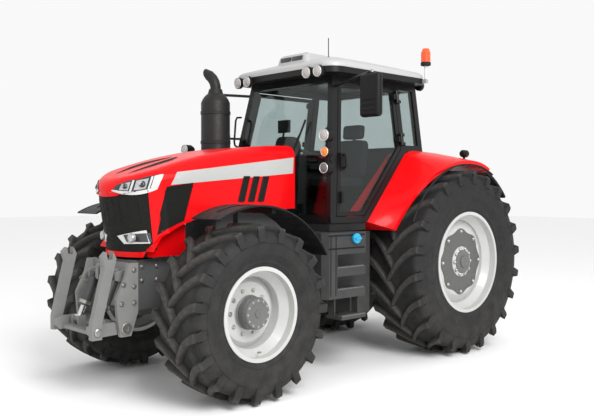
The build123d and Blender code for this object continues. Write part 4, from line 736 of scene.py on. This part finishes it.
floor_mat = finish("floor_mat", (0.02, 0.02, 0.02), rough=0.85, grain=0.4, grain_size=140, shine=0.2)
console_plastic = finish("console_plastic", (0.03, 0.031, 0.032), rough=0.55, grain=0.25, grain_size=400,
                         shine=0.3)
dress(floor_mat, "cab_floor")
dress(console_plastic, "console")
seat_cloth = finish("seat_cloth", (0.028, 0.03, 0.033), rough=0.9, cloud=0.3, cloud_size=30, grain=0.5,
                    grain_size=700, shine=0.15)
seat_low, seat_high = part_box("seat")
SEAT_SETBACK, SEAT_HALF, BACK_HALF, REST_HALF, PAD_FILL = 0.06, 0.25, 0.23, 0.14, 0.9
BASE_LOW, BASE_HIGH, BACK_LOW, BACK_HIGH = 0.165, 0.285, 0.27, 0.72
REST_LOW, REST_HIGH, ARM_LOW, ARM_HIGH, ARM_OUT, ARM_IN = 0.73, 0.895, 0.375, 0.44, -0.33, -0.262
seat_x, seat_z = seat_low.x + SEAT_SETBACK, seat_low.z
seat_base = cushion((seat_x + 0.02, -SEAT_HALF, seat_z + BASE_LOW),
                    (seat_high.x, SEAT_HALF, seat_z + BASE_HIGH), 0.10)
backrest = cushion((seat_x - 0.01, -BACK_HALF, seat_z + BACK_LOW),
                   (seat_x + 0.10, BACK_HALF, seat_z + BACK_HIGH), 0.12, 0.13)
headrest = cushion((seat_x - 0.075, -REST_HALF, seat_z + REST_LOW),
                   (seat_x + 0.02, REST_HALF, seat_z + REST_HIGH), 0.15, 0.1, 1, 18)
arm_pad = cushion((seat_x + 0.01, ARM_OUT, seat_z + ARM_LOW),
                  (seat_x + 0.41, ARM_IN, seat_z + ARM_HIGH), 0.1, 0, 1, 16)
for label, shape in (("seat_base", seat_base), ("seat_back", backrest), ("seat_headrest", headrest),
                     ("seat_arm_pad", arm_pad)):
    pad = piece(label, shape, seat_cloth, "chassis", ["seat"], sharp=60)
FOLD_COUNT, FOLD_PITCH, FOLD_LOW, FOLD_HIGH, FOLD_HALF, FOLD_WAVE = 5, 0.024, 0.02, 0.046, 0.13, 0.02
pedestal = [block((seat_x + 0.06, -0.19, seat_z), (seat_x + 0.34, 0.19, seat_z + FOLD_LOW)),
            block((seat_x + 0.05, -0.18, seat_z + 0.14), (seat_x + 0.4, 0.18, seat_z + 0.17))]
bellows_x = seat_x + 0.2
for k in range(FOLD_COUNT):
    fold, rise = FOLD_HALF + FOLD_WAVE * (k % 2), FOLD_PITCH * k
    pedestal.append(block((bellows_x - fold, -fold, seat_z + FOLD_LOW + rise),
                          (bellows_x + fold, fold, seat_z + FOLD_HIGH + rise)))
pedestal.append(tube([(seat_x - 0.03, 0, seat_z + 0.66), (seat_x - 0.05, 0, seat_z + 0.76)], 0.02))
piece("seat_pedestal", join(*pedestal), rubber_black, "chassis", ["seat"], bevel=0.006)

DASH_LOW, DASH_HIGH, DASH_X, DASH_HALF, DASH_DEEP, DASH_CORNER = 2.14, 2.37, 0.215, 0.17, 0.06, 0.05
DASH_LAYERS = ((0.0, 0.0), (0.0, 0.6), (0.015, 0.8), (0.04, 0.93), (0.08, 1.0))
dash_rings = []
for inset, height in DASH_LAYERS:
    dash_rings.append(rounded(DASH_DEEP - inset * 0.12, DASH_HALF - inset, DASH_CORNER - inset * 0.1,
                              DASH_X + inset * 0.2, DASH_LOW + (DASH_HIGH - DASH_LOW) * height))
piece("dash_hood", stacked(dash_rings), rubber_black, "chassis", sharp=50)
RAIL_RADIUS = 0.011
RAIL_LINE = ((0.29, -0.70, 2.62), (0.35, -0.70, 2.615), (0.37, -0.70, 2.58), (0.395, -0.695, 2.34),
             (0.385, -0.695, 2.3), (0.33, -0.72, 2.285))
piece("grab_rail", tube(RAIL_LINE, RAIL_RADIUS), rubber_black, "chassis")
SCREEN_LOW, SCREEN_HIGH, STALK_RADIUS = (0.0, -0.37, 2.44), (0.03, -0.19, 2.58), 0.012
SCREEN_STALK = ((0.02, -0.28, 2.45), (0.03, -0.3, 2.3), (-0.12, -0.42, 2.17))
LEVER_FOOT, LEVER_TOP, KNOB_FOOT, LEVER_PITCH, LEVER_RADIUS = (-0.2, 2.17), (-0.19, 2.26), 2.255, 0.09, 0.007
LEVER_Y, LEVER_COUNT, PEDALS_Y = -0.44, 4, (0.24, -0.31, -0.41)
KNOB_PROFILE = ((0, -0.005), (0.016, 0.005), (0.018, 0.02), (0.01, 0.034), (0, 0.036))
controls = [block(SCREEN_LOW, SCREEN_HIGH), tube(SCREEN_STALK, STALK_RADIUS)]
lever_backs = [LEVER_PITCH * k for k in range(LEVER_COUNT)]
for back in lever_backs:
    controls.append(tube([(LEVER_FOOT[0] - back, LEVER_Y, LEVER_FOOT[1]),
                          (LEVER_TOP[0] - back, LEVER_Y, LEVER_TOP[1])], LEVER_RADIUS))
for back in lever_backs:
    controls.append(turned(KNOB_PROFILE, aim((LEVER_TOP[0] - back, LEVER_Y, KNOB_FOOT), (0, 0, 1)), 16))
controls += [block((0.27, y, 1.56), (0.30, y + 0.07, 1.66)) for y in PEDALS_Y]
controls += [block((0.295, y + 0.028, 1.482), (0.315, y + 0.042, 1.6)) for y in PEDALS_Y]
piece("cab_controls", join(*controls), rubber_black, "chassis", bevel=0.003)


# Roof: a light grey moulded shell, low and crowned, on the black rim that carries the work lamps. A framed
# hatch with dark panes lies on it, and an amber beacon stands on a stalk at the rear left corner.
roof_low, roof_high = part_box("cab_roof")
roof_middle = (roof_low.x + roof_high.x) / 2
roof_x, roof_y = (roof_high.x - roof_low.x) / 2, roof_high.y
roof_rise = roof_high.z - roof_low.z
ROOF_CORNER, ROOF_LEAST_CORNER = 0.19, 0.02
ROOF_LAYERS = ((0.0, 0.0), (0.0, 0.16), (0.008, 0.22), (0.03, 0.29), (0.07, 0.34), (0.16, 0.46), (0.3, 0.64),
               (0.45, 0.82), (0.6, 0.93), (0.74, 0.985))
roof_grey = finish("roof_grey_shell", (0.40, 0.405, 0.40), rough=0.42, cloud=0.05, cloud_size=3, grain=0.08,
                   grain_size=300)
roof_rings = []
for inset, height in ROOF_LAYERS:
    corner = max(ROOF_CORNER - inset * 0.2, ROOF_LEAST_CORNER)
    z = roof_low.z + roof_rise * height
    roof_rings.append(rounded(roof_x - inset, roof_y - inset, corner, roof_middle, z))
piece("roof_shell", stacked(roof_rings), roof_grey, "chassis", ["cab_roof"], sharp=50)
HATCH_X, HATCH_Y, HATCH_TOP = -0.08, -0.06, roof_high.z + 0.004
HATCH_HALF_X, HATCH_HALF_Y, HATCH_CORNER = 0.15, 0.2, 0.05
HATCH_LAYERS = ((0.05, 0.12), (0.03, 0.03), (0.02, 0.01), (0.0, 0.0), (-0.01, 0.0))
TOP_PANE_PITCH, FRONT_PANE_PITCH = 0.145, 0.18
hatch_rings = [rounded(HATCH_HALF_X + out, HATCH_HALF_Y + out, HATCH_CORNER, HATCH_X, HATCH_TOP - drop)
               for out, drop in HATCH_LAYERS]
hatch_panes = [block((HATCH_X - 0.14 + TOP_PANE_PITCH * k, HATCH_Y - 0.18, HATCH_TOP - 0.004),
                     (HATCH_X - 0.005 + TOP_PANE_PITCH * k, HATCH_Y + 0.18, HATCH_TOP + 0.005))
               for k in range(2)]
hatch_panes += [block((HATCH_X + 0.174, HATCH_Y - 0.17 + FRONT_PANE_PITCH * k, HATCH_TOP - 0.075),
                      (HATCH_X + 0.196, HATCH_Y - 0.01 + FRONT_PANE_PITCH * k, HATCH_TOP - 0.03))
                for k in range(2)]
piece("roof_hatch", shifted(stacked(hatch_rings), (0, HATCH_Y, 0)), roof_grey, "chassis")
piece("roof_hatch_panes", join(*hatch_panes), dark_lamp, "chassis", bevel=0.003)
BRACKET_TOP, STALK_TOP, LENS_FOOT = 3.036, 3.185, 3.222


def beacon_colours(tree, place, tint):
    """Amber lens over a dark base, a bright stalk and a grey bracket."""
    z = along(tree, place, "Z")
    colour, bright, dark = (0.3, 0.3, 0.3), (0.55, 0.55, 0.54), (0.02, 0.02, 0.02)
    for height, above in ((BRACKET_TOP, bright), (STALK_TOP, dark), (LENS_FOOT, tint)):
        colour = mix(tree, spread(tree, z, height, height + 0.001, 0, 1), colour, above)
    return colour


amber = finish("beacon_amber", (0.86, 0.075, 0.006), rough=0.18, cloud=0.15, cloud_size=30, grain=0.05,
               coat=0.5, pattern=beacon_colours)
dress(amber, "beacon")
beacon_low, beacon_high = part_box("beacon")
LENS_REACH, RING_FIRST, RING_PITCH, RING_COUNT = 0.052, 3.228, 0.0125, 8
RING_ROOT, RING_TIP, RING_TALL = 0.0515, 0.0545, 0.008
beacon_axis = Matrix.Translation(((beacon_low.x + beacon_high.x) / 2, beacon_high.y - LENS_REACH, 0))
lens_rings = []
for z in [RING_FIRST + RING_PITCH * k for k in range(RING_COUNT)]:
    section = [(RING_ROOT, z), (RING_TIP, z + RING_TALL / 2), (RING_ROOT, z + RING_TALL)]
    lens_rings.append(turned(section, beacon_axis, 40))
beacon_foot = turned([(0.03, 3.178), (0.056, 3.186), (0.057, 3.212), (0.053, 3.22)], beacon_axis, 40)
piece("beacon_lens_rings", join(*lens_rings), amber, "chassis")
piece("beacon_foot", beacon_foot, rubber_black, "chassis")


# Work lamps: round lamps in black cups with clear fluted lenses and a bright rim, four on the roof's front
# edge, four behind, on each pillar a headlamp, an indicator and a work lamp one above the other, and one
# more ahead of the exhaust, where the can would hide the right pillar's.
LENS_RIM = ((1.0, -0.3), (1.03, 0.05), (0.97, 0.12), (0.9, 0.08), (0.88, 0.04))
LENS_DOME = ((0.9, 0.02), (0.75, 0.12), (0.5, 0.2), (0.25, 0.24), (0, 0.25))


def lens(spot, way, radius):
    """A rim and the domed lens in it, seated on a lamp's face."""
    return [turned([(radius * r, radius * h) for r, h in shares], aim(spot, way), 40)
            for shares in (LENS_RIM, LENS_DOME)]


FLUTES_ACROSS, FLUTES_UP, FLUTE_DARK = 240.0, 170.0, (0.07, 0.07, 0.07)


def fluted_glints(tree, place, tint):
    """Broad facets across a clear lens: painted highlights on the bright facets, and the dark of the cup
    painted between them.
    """
    ribs = calc(tree, "SINE", calc(tree, "MULTIPLY", along(tree, place, "Y"), FLUTES_ACROSS), 0.0)
    steps = calc(tree, "SINE", calc(tree, "MULTIPLY", along(tree, place, "Z"), FLUTES_UP), 0.0)
    facets = calc(tree, "MULTIPLY", ribs, steps)
    # Painted highlights and painted dark alternate across the facets, standing in for light through the
    # clear lens.
    return mix(tree, spread(tree, facets, -0.6, 0.6, 0.0, 0.85), tint, FLUTE_DARK)


dress(black_plastic, "work_lamps")
lens_white = finish("fluted_lens", (0.6, 0.6, 0.58), rough=0.15, cloud=0.15, cloud_size=50, grain=0.05,
                    coat=0.6, pattern=fluted_glints)
lens_orange = finish("indicator_lens", (0.9, 0.22, 0.01), rough=0.2, cloud=0.15, cloud_size=50, grain=0.05,
                     coat=0.6)
dim_lens = finish("dim_lens", (0.12, 0.12, 0.118), rough=0.15, cloud=0.3, cloud_size=60, grain=0.05,
                  coat=0.5)
lamp_skin = skin_of("work_lamps")
ROOF_LAMPS_Y, ROOF_LAMP_Z, PILLAR_LAMP_Y = (0.47, 0.63), 2.99, 0.82
ROOF_WAY, PILLAR_WAY, REAR_WAY = (1, 0, -0.1), (1, 0.1, 0), (-1, 0, -0.1)
LAMPS_AHEAD, LAMPS_BEHIND = 2.0, -3.0
rims, clears, oranges, dims = [], [], [], []
lamps = [(LAMPS_AHEAD, y, ROOF_LAMP_Z, ROOF_WAY, 0.056, clears) for y in ROOF_LAMPS_Y]
lamps += [(LAMPS_AHEAD, PILLAR_LAMP_Y, z, PILLAR_WAY, radius, kind)
          for z, radius, kind in ((2.34, 0.058, clears), (2.18, 0.045, oranges), (2.02, 0.05, dims))]
lamps += [(LAMPS_BEHIND, y, ROOF_LAMP_Z, REAR_WAY, 0.05, clears) for y in ROOF_LAMPS_Y]
for clear_x, y, z, way, radius, kind in lamps:
    rim, dome = lens(laid(lamp_skin, (clear_x, y, z), (-way[0], 0, 0), 0.0), way, radius)
    rims.append(rim)
    kind.append(dome)
FAR_LAMP, FAR_RADIUS = Vector((0.97, -0.84, 2.235)), 0.056
FAR_STAY_FOOT, FAR_STAY_RADIUS = (0.76, -0.70, 2.06), 0.014
far_face = lens(FAR_LAMP, (1, 0, 0), FAR_RADIUS)
far_cup = join(turned([(0, -0.12), (0.035, -0.115), (0.056, -0.08), (0.058, -0.002), (0, -0.002)],
                      aim(FAR_LAMP, (1, 0, 0)), 32),
               tube([FAR_LAMP + Vector((-0.06, 0.01, -0.04)), FAR_LAMP + Vector((-0.1, 0.06, -0.1)),
                     FAR_STAY_FOOT], FAR_STAY_RADIUS))
piece("far_lamp_cup", far_cup, black_plastic, "chassis")
piece("far_lamp_face", join(*far_face), lens_white, "chassis")
piece("low_pillar_lenses", both(*dims), dim_lens, "chassis")
piece("lamp_rims", both(*rims), chrome_silver, "chassis")
piece("lamp_lenses", both(*clears), lens_white, "chassis")
piece("indicator_lenses", both(*oranges), lens_orange, "chassis")


# Mirrors: a tall black plastic shell with soft corners and three ribs in front, on a bent tube from the
# roof's front corner, a silvered glass on its rear face and a bright clamp pin on top.
mirror_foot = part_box("mirrors")[0].z
HEAD_X, HEAD_Y, HEAD_TALL, HEAD_ROUND = 0.28, 1.25, 0.415, 0.038
ARM_Z, ARM_RADIUS, ARM_ROOT = 2.925, 0.016, ((0.16, 0.64, 2.86), (0.2, 0.85, 2.885), (0.26, 1.15, 2.918))
RIB_COUNT, RIB_PITCH, RIB_LOW, RIB_HIGH = 3, 0.05, 0.06, 0.085
head = block((HEAD_X - 0.045, HEAD_Y - 0.14, mirror_foot),
             (HEAD_X + 0.04, HEAD_Y + 0.11, mirror_foot + HEAD_TALL))
arm = tube([*ARM_ROOT, (HEAD_X, HEAD_Y - 0.03, ARM_Z), (HEAD_X, HEAD_Y, ARM_Z - 0.01),
            (HEAD_X, HEAD_Y, ARM_Z - 0.08)], ARM_RADIUS)
piece("mirror_heads", both(head), black_plastic, "chassis", ["mirrors"], HEAD_ROUND, 6)
ribs = [block((HEAD_X + 0.036, HEAD_Y - 0.1, mirror_foot + RIB_LOW + RIB_PITCH * k),
              (HEAD_X + 0.046, HEAD_Y + 0.07, mirror_foot + RIB_HIGH + RIB_PITCH * k))
        for k in range(RIB_COUNT)]
piece("mirror_ribs", both(*ribs), black_plastic, "chassis", bevel=0.004)
piece("mirror_arms", both(arm), black_frame, "chassis", ["mirrors"])
mirror_face = block((HEAD_X - 0.043, HEAD_Y - 0.085, mirror_foot + 0.03),
                    (HEAD_X - 0.035, HEAD_Y + 0.085, mirror_foot + 0.37))
silvered = finish("mirror_glass", (0.8, 0.82, 0.83), rough=0.03, metal=1.0, cloud=0.02, grain=0)
piece("mirror_faces", both(mirror_face), silvered, "chassis", bevel=0.003)
pin = turned([(0, 0), (0.014, 0), (0.014, 0.02), (0.009, 0.026), (0, 0.026)],
             aim((HEAD_X, HEAD_Y, ARM_Z - 0.002), (0, 0, 1)), 20)
piece("mirror_pins", both(pin), zinc, "chassis")


# Rear fenders: broad red pressings over the rear wheels with a rolled black lip below, a black plastic
# extension behind, a small round lamp on top, and tail lamps on the extensions.
dress(red_paint, "rear_fenders")
dress(black_plastic, "fender_extensions")
fender_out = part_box("rear_fenders")[1].y
ext_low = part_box("fender_extensions")[0]
LIP_RING, LIP_RADIUS, LIP_INSET, LIP_FROM, LIP_TO = 1.079, 0.011, 0.02, 26, 116
lip = tube(arc(rear_hub, LIP_RING, fender_out - LIP_INSET, LIP_FROM, LIP_TO, 40), LIP_RADIUS, 10)
piece("fender_lips", both(lip), rubber_black, "chassis")
FENDER_LAMP_X, FENDER_LAMP_Y, LAMP_STALK_RADIUS = -1.594, 1.0, 0.014
lamp_foot = laid(skin_of("rear_fenders"), (FENDER_LAMP_X, FENDER_LAMP_Y, CLEAR_ABOVE), (0, 0, -1), 0.0)
fender_lamp = [tube([lamp_foot - Vector((0, 0, 0.01)), lamp_foot + Vector((0, 0, 0.05))], LAMP_STALK_RADIUS),
               turned([(0, -0.055), (0.03, -0.05), (0.042, -0.03), (0.042, 0.04), (0.036, 0.05), (0, 0.05)],
                      aim(lamp_foot + Vector((0, 0, 0.07)), (-1, 0, 0)), 28)]
piece("fender_lamps", both(*fender_lamp), black_plastic, "chassis")
TAIL_LAMP_Y, TAIL_LAMP_IN, TAIL_LAMP_UP = 0.9, 0.03, 0.06
tail_spot = Vector((ext_low.x + TAIL_LAMP_IN, TAIL_LAMP_Y, ext_low.z + TAIL_LAMP_UP))
tail_lamp = block(tail_spot + Vector((-0.025, -0.11, -0.04)), tail_spot + Vector((0.03, 0.11, 0.06)))
tail_red = finish("tail_lamp_red", (0.42, 0.008, 0.008), rough=0.18, cloud=0.2, cloud_size=60, coat=0.7)
piece("tail_lamps", both(tail_lamp), tail_red, "chassis", bevel=0.008)


# Step tanks: black moulded fuel tank on the left and its twin on the right, two step pockets and a hung
# step with bright gripping edges, a blue filler cap at the top, and a tool box behind on the left.
tank_plastic = finish("tank_plastic", (0.034, 0.0345, 0.035), rough=0.45, cloud=0.2, grain=0.25,
                      grain_size=260, dust=0.25, dust_top=1.2, shine=0.3)
dress(tank_plastic, "step_tanks")
TANK_OUT, TANK_REAR, POCKET_FRONT, TANK_LOW = 1.0, 0.08, 0.485, 0.76
LOW_STEP_Z, LOW_STEP_OUT, LOW_STEP_IN, POCKET_IN, GRIP_DROP, TEETH = 0.59, 0.06, 0.06, 0.02, 0.13, 14
tank_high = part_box("step_tanks")[1].z
pitch = (tank_high - TANK_LOW) / 3
steps = [(TANK_LOW + pitch * k - GRIP_DROP, TANK_OUT, TANK_REAR + POCKET_IN) for k in (1, 2)]
steps.append((LOW_STEP_Z, TANK_OUT + LOW_STEP_OUT, TANK_REAR + LOW_STEP_IN))
grips = []
for z, edge, rear in steps:
    grips.append(block((rear, edge - 0.05, z), (POCKET_FRONT - 0.01, edge - 0.004, z + 0.006)))
    for k in range(TEETH):
        x = rear + 0.012 + (POCKET_FRONT - rear - 0.035) * k / (TEETH - 1)
        grips.append(block((x - 0.006, edge - 0.046, z + 0.005), (x + 0.006, edge - 0.006, z + 0.014)))
step_metal = finish("step_metal", (0.2, 0.205, 0.21), rough=0.4, metal=0.7, cloud=0.2, cloud_size=30,
                    dust=0.2)
piece("step_grips", both(*grips), step_metal, "chassis")
SEAMS_X, SEAM_DROPS, SEAM_FRONT = (0.50, 0.57), (0.16, 0.035), 0.60
seams = [block((x, TANK_OUT - 0.004, TANK_LOW + 0.03), (x + 0.008, TANK_OUT + 0.004, tank_high - 0.03))
         for x in SEAMS_X]
seams += [block((TANK_REAR + 0.02, TANK_OUT - 0.004, z), (SEAM_FRONT, TANK_OUT + 0.005, z + 0.014))
          for z in [tank_high - drop for drop in SEAM_DROPS]]
piece("tank_seams", both(*seams), black_plastic, "chassis", bevel=0.002)
CAP_X, CAP_DROP = 0.238, 0.062
cap_spot = Vector((CAP_X, TANK_OUT, tank_high - CAP_DROP))
cap = join(turned([(0.044, -0.01), (0.044, 0.012), (0.05, 0.014), (0.05, 0.034), (0.045, 0.04), (0, 0.042)],
                  aim(cap_spot, (0, 1, 0)), 24),
           block(cap_spot + Vector((-0.04, 0.04, -0.008)), cap_spot + Vector((0.04, 0.056, 0.008))))
cap_blue = finish("filler_cap_blue", (0.012, 0.33, 0.56), rough=0.4, cloud=0.1, cloud_size=40)
piece("filler_cap", cap, cap_blue, "chassis")


# Exhaust: a tall dark can beside the right front pillar, strapped to a bracket, its tail pipe swept
# sideways and cut at a slant at the top. Heat has dulled the paint.
exhaust_low, exhaust_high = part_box("exhaust")
CAN_X, CAN_Y, CAN_RADIUS, STRAPS_Z, STRAP_TALL = 0.68, -0.665, 0.158, (1.75, 2.3, 2.62), 0.04
can_axis = Matrix.Translation((CAN_X, CAN_Y, 0))
can = turned([(0, 1.575), (0.1, 1.575), (0.135, 1.59), (CAN_RADIUS, 1.62), (CAN_RADIUS, 2.75), (0.14, 2.79),
              (0.115, 2.825), (0.085, 2.85), (0.07, 2.9), (0, 2.9)], can_axis, 56)
strap_in, strap_out = CAN_RADIUS - 0.002, CAN_RADIUS + 0.006
straps = [turned([(strap_in, z), (strap_out, z + 0.003), (strap_out, z + STRAP_TALL - 0.003),
                  (strap_in, z + STRAP_TALL)], can_axis, 56) for z in STRAPS_Z]
TAIL_RADIUS, TAIL_CUT, TAIL_SIDES = 0.058, 0.075, 24
TAIL_LINE = ((0, 0, 2.86), (0, 0, 2.93), (0.004, -0.012, 2.975), (0.012, -0.04, 3.02), (0.022, -0.08, 3.055),
             (0.03, -0.12, 3.078))
can_steel = finish("exhaust_black", (0.016, 0.0155, 0.015), rough=0.5, cloud=0.3, cloud_size=12, grain=0.15,
                   shine=0.25)
foot = block((CAN_X - 0.08, CAN_Y - 0.06, exhaust_low.z),
             (CAN_X + 0.08, exhaust_high.y, exhaust_low.z + 0.085))
tail_pipe = tube([(CAN_X + x, CAN_Y + y, z) for x, y, z in TAIL_LINE], TAIL_RADIUS, TAIL_SIDES)
tail_end = Vector(TAIL_LINE[-1])
for spot in tail_pipe[0][-TAIL_SIDES:]:
    spot += Vector((0.0, -TAIL_CUT * 0.6, TAIL_CUT * 0.1)) * (spot.z - tail_end.z) / TAIL_RADIUS
exhaust = join(can, tail_pipe, *straps, foot)
piece("exhaust_can", exhaust, can_steel, "chassis", ["exhaust"], sharp=30)


# Front linkage: welded steel plates on the front support, a shaft with two lift arms, folded links with
# open claws, and two hydraulic rams with chromed rods. Pins and hose ends are zinc plated.
linkage_grey = finish("linkage_grey_paint", (0.19, 0.192, 0.188), rough=0.5, cloud=0.18, grain=0.2,
                      dust=0.3, shine=0.35)
ram_black = finish("ram_black_paint", (0.05, 0.05, 0.052), rough=0.4, cloud=0.2, dust=0.2)
rod_chrome = finish("rod_chrome", (0.72, 0.72, 0.73), rough=0.1, metal=1.0, cloud=0.05, grain=0.02)
dress(linkage_grey, "front_frame", "front_lift", "rear_hitch", "lower_links", "lift_arms", "lift_rods")
dress(ram_black, "front_cylinders")
dress(rod_chrome, "front_rods")
PIVOT_X, PIVOT_Z, PLATE_OUT, ARM_REACH, ARM_SIDE = 2.41, 0.63, 0.37, 0.27, 0.38
RAM_TOP, RAM_FOOT, RAM_Y, PORT_RADIUS = (2.40, 1.06), (2.565, 0.668), 0.17, 0.012
FRAME_BOLTS, FRAME_BOLT_RADIUS = ((2.33, 1.12), (2.33, 0.98), (2.33, 0.84), (2.45, 0.84), (2.43, 1.0)), 0.015
frame_bolts = [bolt((x, PLATE_OUT, z), (0, 1, 0), FRAME_BOLT_RADIUS) for x, z in FRAME_BOLTS]
piece("front_frame_bolts", both(*frame_bolts), zinc, "chassis")
pivot_head = turned([(0, 0), (0.05, 0), (0.05, 0.012), (0.044, 0.018), (0.02, 0.018), (0.018, 0.012),
                     (0, 0.012)], aim((PIVOT_X, PLATE_OUT + 0.001, PIVOT_Z), (0, 1, 0)), 32)
tip_head = turned([(0, 0), (0.034, 0), (0.034, 0.014), (0.026, 0.02), (0, 0.02)],
                  aim((PIVOT_X + ARM_REACH, ARM_SIDE, PIVOT_Z), (0, 1, 0)), 24)
piece("front_arm_pins", both(pivot_head, tip_head), zinc, "front_arms")
ram_way = (RAM_FOOT[0] - RAM_TOP[0], 0, RAM_FOOT[1] - RAM_TOP[1])
gland = turned([(0.049, 0), (0.053, 0.004), (0.053, 0.03), (0.046, 0.034)],
               aim((RAM_TOP[0] + 0.1, RAM_Y, RAM_TOP[1] - 0.238), ram_way), 28)
port = tube([(RAM_TOP[0] + 0.06, RAM_Y, RAM_TOP[1] - 0.07),
             (RAM_TOP[0] + 0.11, RAM_Y, RAM_TOP[1] - 0.05)], PORT_RADIUS)
piece("ram_fittings", both(gland, port), zinc, "front_barrels")


# Rear linkage and drawbar: forged arms and links in grey paint, zinc sleeves on the lift rods, a plated
# power shaft under its guard, and a block of couplings for hoses on the housing's back.
BACK_X, COUPLER_DEEP, COUPLER_HALF = -1.75, 0.06, 0.24
COUPLERS_Y, COUPLERS_Z, SHAFT_X, SHAFT_Z = (-0.18, -0.06, 0.06, 0.18), (1.235, 1.305), BACK_X - 0.045, 0.69
coupler_block = block((BACK_X - COUPLER_DEEP, -COUPLER_HALF, 1.2), (BACK_X, COUPLER_HALF, 1.34))
piece("coupler_block", coupler_block, black_plastic, "chassis", bevel=0.008)
SOCKET_PROFILE = ((0, 0), (0.022, 0), (0.022, 0.03), (0.018, 0.036), (0.012, 0.036), (0.012, 0.02),
                  (0, 0.02))
sockets = [turned(SOCKET_PROFILE, aim((BACK_X - COUPLER_DEEP, y, z), (-1, 0, 0)), 20)
           for y in COUPLERS_Y for z in COUPLERS_Z]
sockets.append(turned([(0.018, 0), (0.022, 0.002), (0.022, 0.1), (0.018, 0.104)],
                      aim((SHAFT_X, 0, SHAFT_Z), (-1, 0, 0)), 24))
piece("couplers", join(*sockets), zinc, "chassis")
ROD_TOP, ROD_FOOT, COLLAR_SHARES = Vector((-2.1, 0.445, 1.43)), Vector((-2.27, 0.445, 0.615)), (0.3, 0.7)
rod_way = ROD_FOOT - ROD_TOP
sleeve = turned([(0.024, -0.15), (0.034, -0.145), (0.034, 0.145), (0.024, 0.15)],
                aim(ROD_TOP.lerp(ROD_FOOT, 0.5), rod_way), 24)
collars = [turned([(0.023, -0.02), (0.03, -0.02), (0.03, 0.02), (0.023, 0.02)],
                  aim(ROD_TOP.lerp(ROD_FOOT, share), rod_way), 6) for share in COLLAR_SHARES]
piece("lift_rod_sleeves", both(sleeve, *collars), zinc, "rear_rods")


# Studio: a plain pale floor under soft white light from all round, a broad key light over the left front,
# and the camera where the photograph was taken from, a little above the bonnet.
FLOOR_HALF, SKY_STRENGTH, SENSOR_WIDTH = 40, 0.95, 36
corners = [(x * FLOOR_HALF, y * FLOOR_HALF, 0) for x, y in ((-1, -1), (1, -1), (1, 1), (-1, 1))]
floor_mesh = bpy.data.meshes.new("studio_floor")
floor_mesh.from_pydata(corners, [], [(0, 1, 2, 3)])
floor = bpy.data.objects.new("studio_floor", floor_mesh)
bpy.context.scene.collection.objects.link(floor)
pale_floor = finish("pale_floor", (0.92, 0.92, 0.92), rough=0.9, cloud=0.01, grain=0, shine=0.1)
floor_mesh.materials.append(pale_floor)

world = bpy.data.worlds.new("soft_studio")
world.use_nodes = True
sky = world.node_tree.nodes["Background"]
sky.inputs["Color"].default_value = (1, 1, 1, 1)
sky.inputs["Strength"].default_value = SKY_STRENGTH
bpy.context.scene.world = world

KEY_SPOT, KEY_TARGET, KEY_SIZE, KEY_POWER = Vector((3.5, 9, 7.5)), Vector((0, 0, 1.2)), 5, 1100
key_data = bpy.data.lights.new("key_light", "AREA")
key_data.shape = "RECTANGLE"
key_data.size = KEY_SIZE
key_data.size_y = KEY_SIZE
key_data.energy = KEY_POWER
key_light = bpy.data.objects.new("key_light", key_data)
key_light.location = KEY_SPOT
key_light.rotation_euler = (KEY_TARGET - KEY_SPOT).to_track_quat("-Z", "Y").to_euler()
bpy.context.scene.collection.objects.link(key_light)

camera_data = bpy.data.cameras.new("photo_camera")
camera_data.sensor_width = SENSOR_WIDTH
camera_data.lens = FOCAL_PIXELS / PHOTO_WIDTH * camera_data.sensor_width
camera = bpy.data.objects.new("photo_camera", camera_data)
bpy.context.scene.collection.objects.link(camera)
camera.matrix_world = Matrix.Translation(CAMERA_SPOT) @ camera_turn.to_4x4()
bpy.context.scene.camera = camera
bpy.context.scene.view_settings.view_transform = "Standard"
